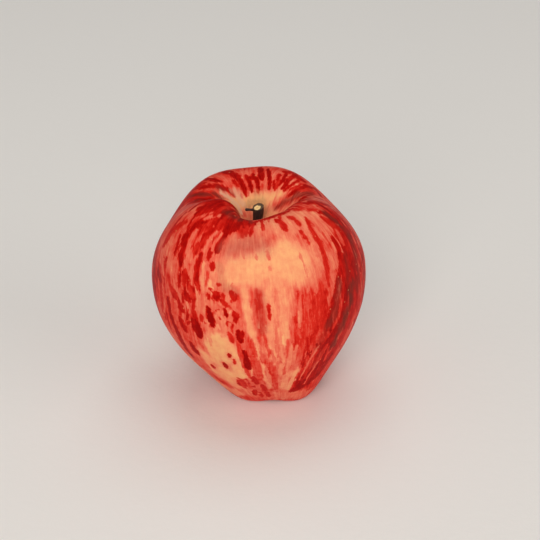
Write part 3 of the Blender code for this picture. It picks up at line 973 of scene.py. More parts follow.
class Shader:
    """One material. Its node method is the only place where a node is made."""

    def __init__(self, name):
        self.material = bpy.data.materials.new(name)
        self.material.use_nodes = True
        self.tree = self.material.node_tree
        self.tree.nodes.clear()

    def node(self, kind, options=(), sockets=(), output=0):
        """A new node: its settings first, then the values or links of its sockets."""
        made = self.tree.nodes.new(kind)
        for key, value in dict(options).items():
            if key == "stops":
                self._set_stops(made.color_ramp, value)
            else:
                setattr(made, key, value)
        for key, value in dict(sockets).items():
            if isinstance(value, Value):
                self.tree.links.new(value.socket, made.inputs[key])
            else:
                made.inputs[key].default_value = value
        return Value(self, made.outputs[output]) if len(made.outputs) else made

    @staticmethod
    def _set_stops(ramp, stops):
        while len(ramp.elements) < len(stops):
            ramp.elements.new(1.0)
        for element, (place, colour) in zip(ramp.elements, stops):
            element.position = place
            element.color = (*colour, 1.0)

    def place(self):
        """Where a point of the piece lies, in its own coordinates."""
        return self.node("ShaderNodeTexCoord", output=3)

    def attribute(self, name, output=2):
        """A piece's own attribute, as a number unless another output is asked for."""
        return self.node("ShaderNodeAttribute", {"attribute_name": name}, output=output)

    def scaled(self, vector, scale, move=(0.0, 0.0, 0.0)):
        """A vector stretched and moved before a pattern reads it."""
        return self.node("ShaderNodeMapping", {}, {"Vector": vector, "Scale": scale, "Location": move})

    def cloud(self, vector, scale, detail, roughness):
        """Noise from 0 to 1, mostly near one half."""
        sockets = {"Vector": vector, "Scale": scale, "Detail": detail, "Roughness": roughness}
        return self.node("ShaderNodeTexNoise", {}, sockets)

    def smooth(self, value, low, high):
        """0 below low and 1 above high, with an even slope between."""
        sockets = {0: value, 1: low, 2: high}
        return self.node("ShaderNodeMapRange", {"interpolation_type": "SMOOTHSTEP"}, sockets)

    def mix(self, share, first, second):
        """Two colours mixed by a share."""
        first = first if isinstance(first, Value) else (*first, 1.0)
        second = second if isinstance(second, Value) else (*second, 1.0)
        return self.node("ShaderNodeMix", {"data_type": "RGBA"}, {0: share, 6: first, 7: second}, output=2)

    def limited(self, value):
        """A number held between 0 and 1."""
        return self.node("ShaderNodeClamp", {}, {0: value})

    def finish(self, colour, roughness, bump, constants):
        """The surface: what varies feeds colour, roughness and bump, and the rest stays constant."""
        normal = self.node("ShaderNodeBump", {}, {"Height": bump, "Strength": 1.0, "Distance": MM})
        sockets = {"Base Color": colour, "Roughness": roughness, "Normal": normal, **constants}
        surface = self.node("ShaderNodeBsdfPrincipled", {}, sockets)
        self.node("ShaderNodeOutputMaterial", {}, {"Surface": surface})
        return self.material


def swayed(value, patterns, amounts):
    """A value moved up and down by patterns, each by its own amount."""
    for name, amount in amounts.items():
        value = value + (patterns[name] - 0.5) * amount
    return value


def smooth_step(start, end, value):
    """0 before start and 1 past end, with an even slope between."""
    share = np.clip((value - start) / (end - start), 0.0, 1.0)
    return share * share * (3.0 - 2.0 * share)


def turn_from(middle, bearing):
    """How far bearings lie from a middle one, from -180 to 180."""
    return (bearing - middle + 180.0) % 360.0 - 180.0


def outline_at(along):
    """Radius, height and outward normal of the turned outline, with along counted in spans of its cage."""
    cage = np.array(OUTLINE)
    mirror = np.array((-1.0, 1.0))
    cage = np.vstack([cage[1] * mirror, cage, cage[-2] * mirror])
    span = np.clip(along.astype(int), 0, SPANS - 1)
    u = along - span
    place = ((1 - u) ** 3, 3 * u**3 - 6 * u**2 + 4, -3 * u**3 + 3 * u**2 + 3 * u + 1, u**3)
    slope = (-3 * (1 - u) ** 2, 9 * u**2 - 12 * u, -9 * u**2 + 6 * u + 3, 3 * u**2)
    points = sum(weight[:, None] * cage[span + i] for i, weight in enumerate(place)) / 6.0
    course = sum(weight[:, None] * cage[span + i] for i, weight in enumerate(slope)) / 6.0
    normals = np.column_stack([-course[:, 1], course[:, 0]])
    normals /= np.linalg.norm(normals, axis=1)[:, None] + TINY
    return points[:, 0], points[:, 1], normals[:, 0], normals[:, 1]


def course_length(along):
    """How far each of a row of places lies from the first, along the outline."""
    radius, height, _, _ = outline_at(along)
    return np.concatenate([[0.0], np.cumsum(np.hypot(np.diff(radius), np.diff(height)))])


def sideways(height):
    """How far the base grew towards +X at a height."""
    return BASE_SHIFT * np.clip(1.0 - height / SHIFT_HEIGHT, 0.0, 1.0) ** 2


def grown(along, bearing, relief=0.0):
    """Points of the fruit in its growing frame: lobed, out of round, its base to one side."""
    radius, height, out, up = outline_at(along)
    cosine, sine = np.cos(np.radians(bearing)), np.sin(np.radians(bearing))
    hump = np.zeros(len(along))
    for middle, rise, spread in SHOULDERS:
        hump += rise * np.exp(-SHOULDER_FALL * (turn_from(middle, bearing) / spread) ** 2)
    lobe = LOBE_DEPTH * (np.cos(LOBES * np.radians(bearing - LOBE_BEARING)) - 1.0)
    crown = smooth_step(SHOULDER_FROM, SHOULDER_FULL, height) * smooth_step(HOLLOW_START, HOLLOW_EDGE, radius)
    foot = smooth_step(LOBE_FROM, LOBE_FULL, height) * smooth_step(HOLLOW_START, BASIN_EDGE, radius)
    move = hump * crown + lobe * foot + relief
    wide = 1.0 + ROUND_SHARE * np.cos(np.radians(bearing - ROUND_BEARING))
    wide += OVAL_SHARE * np.cos(2.0 * np.radians(bearing - OVAL_BEARING))
    radius = (radius + out * move) * wide
    height = height + up * move
    x, y = radius * cosine, radius * sine
    height = height - LEVEL_SHARE * math.tan(math.radians(LEAN)) * x * foot
    return np.column_stack([x + sideways(height), y, height])


class Fruit:
    """The fruit's surface: where a place given by (along, bearing) lies."""

    def __init__(self):
        """Fits the surface's box to the frame's, so that the fine skin lies where the solid does."""
        low, high = (np.array(corner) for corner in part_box("apple_fruit"))
        self.turn = np.array(Matrix.Rotation(math.radians(-LEAN), 3, "Y")).T
        rows = SPANS * FIT_ROWS_PER_SPAN + 1
        bearings = np.arange(0.0, 360.0, FIT_STEP)
        along = np.repeat(np.linspace(0.0, SPANS, rows), len(bearings))
        points = grown(along, np.tile(bearings, rows)) @ self.turn
        least, most = points.min(axis=0), points.max(axis=0)
        least[2] += REST_DEPTH
        self.scale = np.minimum((high - low) / (most - least), 1.0)
        self.shift = (low + high) / 2 - self.scale * (least + most) / 2
        self.shift[2] = -self.scale[2] * least[2]

    def settled(self, points):
        """Points of the growing frame, leaned over and set down where the fruit stands."""
        placed = (points @ self.turn) * self.scale + self.shift
        placed[:, 2] = np.maximum(placed[:, 2], 0.0)
        return placed

    def at(self, along, bearing, relief=0.0):
        """Points of the standing fruit."""
        return self.settled(grown(np.atleast_1d(along), np.atleast_1d(bearing), relief))

    def frame_at(self, point):
        """The matrix from a growing-frame point, with its upright axis, to the standing fruit."""
        place = self.settled(np.array([point]))[0]
        return Matrix.Translation(Vector(place)) @ Matrix.Rotation(math.radians(-LEAN), 4, "Y")


class Eye:
    """The camera's view as plain arithmetic, to find what a pixel of the photograph falls on."""

    def __init__(self, stage):
        pitch = stage.elevation
        forward = Vector((0.0, math.cos(pitch), -math.sin(pitch)))
        right = Vector((1.0, 0.0, 0.0))
        self.place = Vector(TARGET) - stage.distance * forward
        self.focal_pixels = PIXELS_PER_METRE * stage.distance
        self.middle = PHOTO_PIXELS / 2
        aside = (self.middle - TARGET_PIXEL[0]) / PIXELS_PER_METRE
        above = (TARGET_PIXEL[1] - self.middle) / PIXELS_PER_METRE
        self.aim = Vector(TARGET) + aside * right + above * right.cross(forward)

    def matrix(self):
        """The camera's place and turn."""
        look = self.aim - self.place
        return Matrix.Translation(self.place) @ look.to_track_quat("-Z", "Y").to_matrix().to_4x4()

    def lens(self):
        """The focal length in millimetres."""
        return self.focal_pixels / PHOTO_PIXELS * SENSOR

    def pixels(self, points):
        """Where points fall in the photograph, as an array of (x, y)."""
        inverse = np.array(self.matrix().inverted())
        seen = points @ inverse[:3, :3].T + inverse[:3, 3]
        across = self.middle + self.focal_pixels * seen[:, 0] / -seen[:, 2]
        down = self.middle - self.focal_pixels * seen[:, 1] / -seen[:, 2]
        return np.column_stack([across, down])


class Painter:
    """Paints washes, streaks and flecks on the fruit's points, as values that its material reads."""

    def __init__(self, fruit, eye, points, normals, along, bearing, grain):
        self.fruit = fruit
        self.points = points
        self.normals = normals
        self.along = along
        self.bearing = bearing
        self.eye = np.array(eye.place)
        places = grain * np.array(FRAY_STRETCH)
        self.fray = np.array([noise.fractal(Vector(place), *FRAY_NOISE) for place in places])
        self.tone = np.full(len(points), BASE_TONE)
        self.edges = {kind: np.full(len(points), FAR_OUTSIDE) for kind in MARK_KINDS}
        self.tones = {kind: np.full(len(points), MARK_TONE) for kind in MARK_KINDS}
        self.layers = {name: np.zeros(len(points)) for name in ("shade", "scarf", "russet")}
        facing = ((self.eye - points) * normals).sum(axis=1) > 0.0
        self.seen = {
            "flank": np.flatnonzero(facing & (along >= CREST - FLANK_OVERLAP)),
            "hollow": np.flatnonzero(facing & (along < CREST + HOLLOW_OVERLAP)),
        }
        self.pixels = eye.pixels(points)

    def lay(self, path, region):
        """A path of pixels laid on the part of the fruit that they show, with the pixels per metre across."""
        path = np.array(path, float)
        pieces = [path[:1]]
        for start, end in zip(path[:-1], path[1:]):
            count = max(int(np.hypot(*(end - start)) / LAY_STEP), 1)
            pieces.append(start + (end - start) * np.linspace(0.0, 1.0, count + 1)[1:, None])
        seen = self.seen[region]
        pixels = self.pixels[seen]
        laid, outwards = [], []
        for pixel in np.vstack(pieces):
            away = np.hypot(pixels[:, 0] - pixel[0], pixels[:, 1] - pixel[1])
            nearest = np.argpartition(away, NEIGHBOURS)[:NEIGHBOURS]
            weight = 1.0 / (away[nearest] + NEAREST_PIXELS)
            laid.append(weight @ self.points[seen[nearest]] / weight.sum())
            outwards.append(self.normals[seen[nearest[0]]])
        laid = np.array(laid)
        across = np.cross(np.array(outwards), np.gradient(laid, axis=0))
        across /= np.linalg.norm(across, axis=1)[:, None] + TINY
        sight = self.eye - laid
        sight /= np.linalg.norm(sight, axis=1)[:, None]
        seen_width = np.sqrt(1.0 - np.clip((across * sight).sum(axis=1), -1.0, 1.0) ** 2)
        return np.column_stack([laid, PIXELS_PER_METRE * np.maximum(seen_width, LEAST_WIDTH)])

    def spot(self, pixel, region):
        """The place on the fruit, as (along, bearing), that a pixel shows."""
        seen = self.seen[region]
        away = np.hypot(*(self.pixels[seen] - pixel).T)
        nearest = seen[np.argmin(away)]
        return self.along[nearest], self.bearing[nearest]

    def run(self, start, middle, length, bend):
        """A path down the fruit, as the streaks of a skin run, with the same scale all along."""
        steps = np.linspace(0.0, 1.0, RUN_STEPS)
        places = self.fruit.at(start + length * steps, middle + bend * (steps - 0.5))
        return np.column_stack([places, np.full(RUN_STEPS, PIXELS_PER_METRE)])

    def near(self, path, pixels):
        """The points within some pixels of a path, their distance to it and how far along it they lie."""
        path, scale = path[:, :3], path[:, 3]
        reach = pixels / scale.min()
        low, high = path.min(axis=0) - reach, path.max(axis=0) + reach
        chosen = np.flatnonzero(((self.points >= low) & (self.points <= high)).all(axis=1))
        points = self.points[chosen]
        lengths = np.linalg.norm(np.diff(path, axis=0), axis=1) + LEAST_LENGTH
        begins = np.concatenate([[0.0], np.cumsum(lengths)])
        best = np.full(len(chosen), np.inf)
        share = np.zeros(len(chosen))
        for start, end, length, begin in zip(path[:-1], path[1:], lengths, begins):
            course = (end - start) / length
            along = np.clip((points - start) @ course, 0.0, length)
            away = np.linalg.norm(points - start - along[:, None] * course, axis=1)
            closer = away < best
            best[closer] = away[closer]
            share[closer] = (begin + along[closer]) / begins[-1]
        return chosen, best * np.interp(share, begins / begins[-1], scale), share

    def brushed(self, path, width, softness, strength):
        """The points under a soft brush, and its strength at each."""
        chosen, away, _ = self.near(path, (width + softness) / 2 + FRAY_PIXELS)
        edge = (width / 2 - away + FRAY_PIXELS * self.fray[chosen]) / softness + 0.5
        return chosen, strength * smooth_step(0.0, 1.0, edge)

    def wash(self, path, width, softness, tone, strength):
        """Draws the tone towards one value under a soft brush. A pale wash also lifts the marks under it."""
        chosen, mask = self.brushed(path, width, softness, strength)
        self.tone[chosen] += (tone - self.tone[chosen]) * mask
        if tone < PALE_TONE:
            for edges in self.edges.values():
                edges[chosen] = np.maximum(edges[chosen] + FAR_OUTSIDE * mask, FAR_OUTSIDE)

    def touch(self, path, width, change):
        """Makes the skin a little redder or paler along a thin line, and less where the ground shows."""
        chosen, mask = self.brushed(path, width, width, 1.0)
        self.tone[chosen] += change * mask * np.clip(self.tone[chosen] / FULL_TOUCH, LEAST_TOUCH, 1.0)

    def layer(self, name, path, width, softness, strength):
        """Adds to a soft layer, as far as its strength."""
        chosen, mask = self.brushed(path, width, softness, strength)
        values = self.layers[name]
        values[chosen] = np.maximum(values[chosen], mask)

    def mark(self, kind, path, width, tone):
        """A streak or a fleck that narrows at both ends, kept as millimetres inside its edge."""
        chosen, away, share = self.near(path, width / 2 - FAR_OUTSIDE * MM * PIXELS_PER_METRE)
        taper = 1.0 - END_TAPER * (2.0 * share - 1.0) ** 4
        inside = (width / 2 * taper - away) / PIXELS_PER_METRE / MM + FULLER
        edges, tones = self.edges[kind], self.tones[kind]
        cover = np.where(inside > edges[chosen], 1.0, smooth_step(-SOFT_EDGE, SOFT_EDGE, inside))
        tones[chosen] += (tone - tones[chosen]) * cover
        edges[chosen] = np.maximum(edges[chosen], inside)


def paint_front(painter):
    """What the photograph shows: the flank towards it, then the hollow and the crest behind."""
    tables = {
        "flank": (FLANK_WASHES, FLANK_STREAKS, FLANK_FLECKS, FLANK_PAINTED_SHADES),
        "hollow": (HOLLOW_WASHES, HOLLOW_STREAKS, HOLLOW_FLECKS, HOLLOW_PAINTED_SHADES),
    }
    for region, (washes, _, _, _) in tables.items():
        for path, width, softness, tone, strength in washes:
            painter.wash(painter.lay(path, region), width, softness, tone, strength)
    rng = random.Random(FRONT_SEED)
    for kind, count, (left, top, right, bottom), lengths, widths, tones in SMALL_FIELDS:
        for _ in range(count):
            start, middle = painter.spot((rng.uniform(left, right), rng.uniform(top, bottom)), "flank")
            path = painter.run(start, middle, rng.uniform(*lengths), rng.uniform(*SMALL_BEND))
            painter.mark(kind, path, rng.uniform(*widths), rng.uniform(*tones))
    for region, (_, streaks, flecks, shades) in tables.items():
        for kind, table in (("streak", streaks), ("fleck", flecks)):
            for path, width, tone in table:
                laid = painter.lay(path, region)
                if kind == "fleck" and tone > HALO_FROM:
                    painter.wash(laid, width, HALO_PIXELS, HALO_TONE, HALO_STRENGTH)
                painter.mark(kind, laid, width, tone)
        for path, width, softness, strength in shades:
            painter.layer("shade", painter.lay(path, region), width, softness, strength)
    films = (
        ("scarf", "hollow", HOLLOW_SCARF),
        ("russet", "hollow", HOLLOW_RUSSET),
        ("scarf", "flank", FLANK_SCARF),
    )
    for name, region, table in films:
        for path, width, softness, strength in table:
            painter.layer(name, painter.lay(path, region), width, softness, strength)


def drawn(rng, options):
    """A number between two, one of several, or 0 where nothing is to be drawn."""
    if options is None:
        return 0.0
    return rng.uniform(*options) if len(options) == 2 else rng.choice(options)


def scatter(painter, rng, field):
    """The marks of one field, each with its own place, course, width and tone."""
    kind, count, *course, width, tone, strength = field
    for _ in range(count):
        path = painter.run(*(drawn(rng, options) for options in course))
        wide, value, force = (drawn(rng, options) for options in (width, tone, strength))
        if kind == "wash":
            painter.wash(path, wide, BACK_SOFTNESS, value, force)
        elif kind == "touch":
            painter.touch(path, wide, value)
        else:
            painter.mark(kind, path, wide, value)


def paint_back(painter):
    """The rest goes on in the same way: pale cheeks, streaks and flecks by rule."""
    rng = random.Random(BACK_SEED)
    along, bearing = painter.along, painter.bearing
    painter.tone += BACK_DEEPER
    for middle, spread, place, reach, change in CHEEKS:
        away = turn_from(middle, bearing) / spread
        painter.tone += change * np.exp(-(away**2) - ((along - place) / reach) ** 2)
    for start, full, tone, strength in TONE_BANDS:
        painter.tone += (tone - painter.tone) * smooth_step(start, full, along) * strength
    for field in BACK_FIELDS:
        scatter(painter, rng, field)
    painter.tone[:] = np.clip(painter.tone, 0.0, 1.0)
    scatter(painter, rng, TOUCHES)
    russet = painter.layers["russet"]
    for start, full, strength in RUSSET_BANDS:
        russet[:] = np.maximum(russet, strength * smooth_step(start, full, along))


def mesh_from(bm, name):
    """A mesh with the shape of a bmesh, which ends."""
    mesh = bpy.data.meshes.new(name)
    bm.to_mesh(mesh)
    bm.free()
    return mesh


def spun_outline(name, outline, steps, layers=()):
    """A closed turned mesh from (radius, height) pairs, top first, whose points carry values along."""
    bm = bmesh.new()
    stores = {key: bm.verts.layers.float.new(key) for key, _ in layers}
    verts = [bm.verts.new((radius, 0.0, height)) for radius, height in outline]
    for key, values in layers:
        for vert, value in zip(verts, values):
            vert[stores[key]] = value
    edges = [bm.edges.new(pair) for pair in zip(verts[:-1], verts[1:])]
    full = {"angle": math.tau, "steps": steps, "use_merge": True}
    bmesh.ops.spin(bm, geom=[*verts, *edges], cent=(0, 0, 0), axis=(0, 0, 1), **full)
    bmesh.ops.remove_doubles(bm, verts=bm.verts, dist=MERGE_DISTANCE)
    bmesh.ops.recalc_face_normals(bm, faces=bm.faces)
    return mesh_from(bm, name)


def coordinates(mesh):
    """The mesh's points as an array."""
    flat = np.zeros(len(mesh.vertices) * 3)
    mesh.vertices.foreach_get("co", flat)
    return flat.reshape(-1, 3)


def set_coordinates(mesh, points):
    """Moves the mesh's points to those of an array."""
    mesh.vertices.foreach_set("co", np.asarray(points, float).ravel())
    mesh.update()


def store(mesh, name, values):
    """Keeps a number or a vector for each point, for the material to read."""
    values = np.asarray(values, float)
    kind, key = ("FLOAT", "value") if values.ndim == 1 else ("FLOAT_VECTOR", "vector")
    layer = mesh.attributes.get(name) or mesh.attributes.new(name, kind, "POINT")
    layer.data.foreach_set(key, values.ravel())


def add_piece(name, mesh, finishes, node):
    """A smooth shaded piece that stands for a node of the frame and rides on its body."""
    for finish in finishes:
        mesh.materials.append(finish)
    mesh.shade_smooth()
    piece = bpy.data.objects.new(name, mesh)
    bpy.context.scene.collection.objects.link(piece)
    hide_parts(node)
    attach(piece, "root")
    return piece


def dented(points, fineness):
    """Noise from 0 to 1 at each point."""
    return 0.5 - 0.5 * np.array([noise.noise(Vector(point) * fineness) for point in points])


def fine_relief(shape, along, bearing, points):
    """Small dents and folds in the skin, all inwards so that the fruit keeps its size."""
    flank = smooth_step(*CALM_BELOW, along) * smooth_step(*CALM_ABOVE, along)
    dents = -shape.undulation * dented(points, BROAD_DENTS) * flank
    dents -= SMALL_DENT_DEPTH * dented(points, SMALL_DENTS) * flank
    angle = np.radians(bearing)
    wander = FOLD_WANDER * np.sin(2.0 * angle + FOLD_PHASE) + along * FOLD_TWIST
    hollow = smooth_step(*FOLDS_FROM, along) * smooth_step(*FOLDS_TO, along)
    folds = -shape.hollow_folds * hollow * (0.5 + 0.5 * np.sin(HOLLOW_FOLDS * angle + wander))
    basin = smooth_step(*PLEATS_FROM, along) * smooth_step(SPANS, SPANS - PLEATS_FADE, along)
    pleat = np.cos(BASIN_PLEATS * (angle - math.radians(LOBE_BEARING)))
    return dents + folds - shape.basin_folds * basin * (0.5 + 0.5 * pleat)


def skin_material(colours):
    """Waxy skin: an orange yellow ground under washes, streaks and flecks of red, then painted shade, cork,
    scarf skin and pores.
    """
    sh = Shader("fruit_skin")
    place = sh.place()
    grain = sh.attribute("grain", output=1)
    patterns = {}
    for name, (scale, move, detail, roughness) in GRAIN_PATTERNS.items():
        patterns[name] = sh.cloud(sh.scaled(grain, scale, move), 1.0, detail, roughness)
    for name, pattern in PLACE_PATTERNS.items():
        patterns[name] = sh.cloud(place, *pattern)
    thin, mottle, hair = patterns["thin"], patterns["mottle"], patterns["hair"]

    tone = sh.attribute("tone")
    strength = sh.smooth(tone, 0.0, GROUND_END) * (1.0 - GROUND_GRAIN) + GROUND_GRAIN
    worked = swayed(tone + swayed(0.0, patterns, GRAIN_SWAY) * strength, patterns, TONE_SWAY)
    for kind in MARK_KINDS:
        cover = sh.smooth(swayed(sh.attribute(kind), patterns, EDGE_SWAY[kind]), *MARK_EDGES[kind])
        marked = swayed(sh.attribute(f"{kind}_tone"), patterns, MARK_SWAY[kind])
        worked = worked + (marked - worked) * cover * MARK_COVER[kind]

    reds = (colours.ground, colours.peach, colours.salmon, colours.red, colours.crimson, colours.deep)
    base = sh.node("ShaderNodeValToRGB", {"stops": list(zip(TONE_STOPS, reds))}, {0: sh.limited(worked)})
    # Painted shade: a dark brown red mixed in where the shade layer lies, broken up by the thin pattern; in a
    # few places it dulls the skin's colour
    brown = sh.limited(sh.attribute("shade") * (thin * PAINTED_SHADE_THIN + PAINTED_SHADE_EVEN))
    base = sh.mix(brown, base, colours.shade_colour)
    cork = sh.limited(sh.attribute("russet") * (mottle * CORK_MOTTLE + hair * CORK_HAIR - CORK_GAPS))
    base = sh.mix(cork * CORK_COVER, base, colours.russet)
    film = sh.limited(sh.attribute("scarf") * (thin + SCARF_EVEN))
    base = sh.mix(film * SCARF_COVER, base, colours.scarf)

    dots = sh.node("ShaderNodeTexVoronoi", {"feature": "F1"}, {"Vector": place, "Scale": PORE_SCALE})
    pores = 1.0 - sh.smooth(swayed(dots, patterns, PORE_SWAY), *PORE_EDGES)
    base = sh.mix(pores * PORE_COVER, base, colours.ground)

    roughness = swayed(SKIN_ROUGHNESS, patterns, ROUGHNESS_SWAY)
    roughness = roughness + cork * CORK_ROUGHNESS + brown * PAINTED_SHADE_ROUGHNESS
    bump = swayed(0.0, patterns, HEIGHT_SWAY) + pores * PORE_HEIGHT + cork * CORK_HEIGHT
    return sh.finish(base, roughness, bump, SKIN_SURFACE)


class APPLE_OT_fruit(bpy.types.Operator):
    """Builds the fruit with its painted skin."""

    bl_idname = "apple.fruit"
    bl_label = "Build the fruit"

    def execute(self, context):
        shape, colours, stage = settings()
        fruit = Fruit()
        even = np.linspace(0.0, SPANS, SPANS * ROWS_PER_SPAN + 1)
        reach = course_length(even)
        rows = np.interp(np.linspace(0.0, reach[-1], ROWS), reach, even)
        radius, height, _, _ = outline_at(rows)
        mesh = spun_outline("fruit_skin", list(zip(radius, height)), STEPS_AROUND, [("along", rows)])
        along = np.zeros(len(mesh.vertices))
        mesh.attributes["along"].data.foreach_get("value", along)
        turned = coordinates(mesh)
        bearing = np.degrees(np.arctan2(turned[:, 1], turned[:, 0]))
        away = np.radians(bearing - FRONT_BEARING)
        bearing = bearing - np.degrees(FRONT_CROWDING * np.sin(away))
        angle = np.radians(bearing)
        cosine, sine = np.cos(angle), np.sin(angle)
        spread = np.hypot(turned[:, 0], turned[:, 1])
        turned = np.column_stack([spread * cosine, spread * sine, turned[:, 2]])
        down = np.interp(along, even, reach) / MM
        grain = np.column_stack([GRAIN_RADIUS * cosine, GRAIN_RADIUS * sine, down])
        points = fruit.at(along, bearing, fine_relief(shape, along, bearing, turned))
        set_coordinates(mesh, points)
        normals = np.zeros(len(points) * 3)
        mesh.vertices.foreach_get("normal", normals)

        painter = Painter(fruit, Eye(stage), points, normals.reshape(-1, 3), along, bearing, grain)
        paint_back(painter)
        paint_front(painter)
        store(mesh, "grain", grain)
        store(mesh, "tone", painter.tone)
        for kind in MARK_KINDS:
            store(mesh, kind, painter.edges[kind])
            store(mesh, f"{kind}_tone", painter.tones[kind])
        for name, values in painter.layers.items():
            store(mesh, name, values)
        add_piece("fruit_skin", mesh, [skin_material(colours)], "apple_fruit")
        return {"FINISHED"}


def bark_material(colours):
    """Dark bark with fine ridges and grey brown wear."""
    sh = Shader("stem_bark")
    place = sh.place()
    patterns = {
        "ridges": sh.cloud(sh.scaled(place, BARK_STRETCH), *BARK_RIDGES),
        "patches": sh.cloud(place, *BARK_PATCHES),
    }
    wear = sh.smooth(swayed(patterns["patches"], patterns, BARK_WEAR_SWAY), *BARK_WEAR_EDGES)
    base = sh.mix(wear * BARK_WEAR, colours.bark, linear(*WORN_BARK))
    base = sh.mix(sh.smooth(patterns["ridges"], *CREVICE_EDGES) * CREVICE_COVER, base, linear(*BARK_CREVICE))
    roughness = swayed(BARK_ROUGHNESS, patterns, BARK_ROUGHNESS_SWAY)
    return sh.finish(base, roughness, swayed(0.0, patterns, BARK_HEIGHT_SWAY), BARK_SURFACE)


def wood_material(colours):
    """The pale cut end of the stem, with a darker rim and pith."""
    sh = Shader("stem_cut_wood")
    place = sh.place()
    ring = sh.attribute("ring")
    patterns = {"fibres": sh.cloud(place, *WOOD_FIBRES), "torn": sh.cloud(place, *WOOD_TEARS)}
    deeper = sh.smooth(patterns["fibres"], *FIBRE_EDGES) * FIBRE_COVER
    base = sh.mix(deeper, colours.wood, linear(*DEEPER_WOOD))
    rim = sh.smooth(swayed(ring, patterns, RIM_SWAY), *RIM_EDGES)
    base = sh.mix(rim * RIM_COVER, base, linear(*CUT_RIM))
    pith = 1.0 - sh.smooth(swayed(ring, patterns, PITH_SWAY), *PITH_EDGES)
    base = sh.mix(pith * PITH_COVER, base, linear(*PITH))
    roughness = swayed(WOOD_ROUGHNESS, patterns, WOOD_ROUGHNESS_SWAY)
    return sh.finish(base, roughness, swayed(0.0, patterns, WOOD_HEIGHT_SWAY), WOOD_SURFACE)


class APPLE_OT_stem(bpy.types.Operator):
    """Builds the stem with its slanted cut and its spur."""

    bl_idname = "apple.stem"
    bl_label = "Build the stem"

    def execute(self, context):
        shape, colours, _ = settings()
        _, hollow, _, _ = outline_at(np.array([0.0]))
        mesh = stem_mesh(shape)
        mesh.transform(Fruit().frame_at((0.0, 0.0, hollow[0])))
        finishes = [bark_material(colours), wood_material(colours)]
        add_piece("stem_wood", mesh, finishes, "stem")
        return {"FINISHED"}


def stem_rod(shape):
    """A ridged rod, higher than the stem, that swells towards its head and leans a little."""
    rise = np.linspace(1.0, 0.0, STEM_ROWS)
    top = shape.stem_height + shape.stem_head * STEM_SPARE
    heights = -STEM_DEPTH + (top + STEM_DEPTH) * rise
    swell = smooth_step(STEM_WAIST, 1.0, heights / shape.stem_height)
    radii = shape.stem_root + (shape.stem_head - shape.stem_root) * swell
    outline = [(0.0, heights[0]), *zip(radii, heights), (0.0, heights[-1])]
    mesh = spun_outline("stem_wood", outline, STEM_STEPS)
    points = coordinates(mesh)
    angle = np.arctan2(points[:, 1], points[:, 0])
    lumps = np.array([noise.noise(Vector((x, y, z * LUMP_STRETCH)) * LUMP_SCALE) for x, y, z in points])
    ridge = RIDGE_HEIGHT * np.sin(RIDGES * angle + points[:, 2] * RIDGE_TWIST) + LUMP_HEIGHT * lumps
    ridge = np.minimum(ridge, RELIEF_LIMIT) * (np.hypot(points[:, 0], points[:, 1]) > RELIEF_FROM)
    points[:, 0] += np.cos(angle) * ridge
    points[:, 1] += np.sin(angle) * ridge
    points[:, 0] += STEM_LEAN * (1.0 - (1.0 - np.clip(points[:, 2] / shape.stem_height, 0.0, 1.0)) ** 2)
    set_coordinates(mesh, points)
    return mesh


def bent_rod(name, spine, radii, steps, rows):
    """A turned rod with rounded ends, bent along a curve through the middle of three points."""
    share = np.linspace(1.0, 0.0, rows)
    radius = np.interp(share, (0.0, 0.5, 1.0), radii)
    length = sum((Vector(end) - Vector(start)).length for start, end in zip(spine[:-1], spine[1:]))
    to_end = np.minimum(share, 1.0 - share) * length / radius
    radius = radius * np.sqrt(np.clip(to_end * (2.0 - to_end), 0.0, 1.0) * (to_end < 1.0) + (to_end >= 1.0))
    mesh = spun_outline(name, list(zip(radius, share)), steps)
    points = coordinates(mesh)
    foot, bend, end = (np.array(point) for point in spine)
    u = points[:, 2:3]
    middle = (1 - u) ** 2 * foot + 2 * u * (1 - u) * bend + u**2 * end
    course = (1 - u) * (bend - foot) + u * (end - bend)
    course = course / np.linalg.norm(course, axis=1)[:, None]
    aside = np.cross(course, ROD_SIDE)
    aside = aside / np.linalg.norm(aside, axis=1)[:, None]
    set_coordinates(mesh, middle + aside * points[:, 0:1] + np.cross(course, aside) * points[:, 1:2])
    return mesh


def stem_mesh(shape):
    """The rod with its slanted cut, where pale wood sinks inside the bark, and a spur on its left side."""
    bm = bmesh.new()
    bm.from_mesh(stem_rod(shape))
    facing = Vector((0.0, 0.0, 1.0))
    facing.rotate(Matrix.Rotation(math.radians(CUT_TILT), 3, "Y"))
    facing.rotate(Matrix.Rotation(math.radians(CUT_BEARING), 3, "Z"))
    middle = Vector((STEM_LEAN, 0.0, shape.stem_height))
    geometry = [*bm.verts, *bm.edges, *bm.faces]
    bmesh.ops.bisect_plane(bm, geom=geometry, plane_co=middle, plane_no=facing, clear_outer=True)
    ring = bm.verts.layers.float.new("ring")
    rim = [edge for edge in bm.edges if edge.is_boundary]
    face = bmesh.ops.contextual_create(bm, geom=rim)["faces"][0]
    for vert in face.verts:
        vert[ring] = 1.0
    aside = Vector((*WOOD_SIDE, 0.0)) * shape.stem_head
    centre = face.calc_center_median() + aside - facing * aside.dot(facing)
    level = 1.0
    for share, sink in CUT_RINGS:
        face = bmesh.ops.extrude_discrete_faces(bm, faces=[face])["faces"][0]
        about = Matrix.Translation(-centre)
        bmesh.ops.scale(bm, verts=face.verts, vec=(share, share, share), space=about)
        level *= share
        for vert in face.verts:
            vert[ring] = level
            vert.co -= facing * (sink * MM + noise.noise(vert.co * CUT_GRAIN) * CUT_GRAIN_HEIGHT)
        centre = face.calc_center_median()
    tip = bmesh.ops.poke(bm, faces=[face])["verts"][0]
    tip[ring] = level / 2
    for face in bm.faces:
        face.material_index = int(all(vert[ring] > 0.0 for vert in face.verts))
    bm.from_mesh(bent_rod("spur", SPUR_SPINE, SPUR_RADII, SPUR_STEPS, SPUR_ROWS))
    bmesh.ops.recalc_face_normals(bm, faces=bm.faces)
    return mesh_from(bm, "stem_wood")


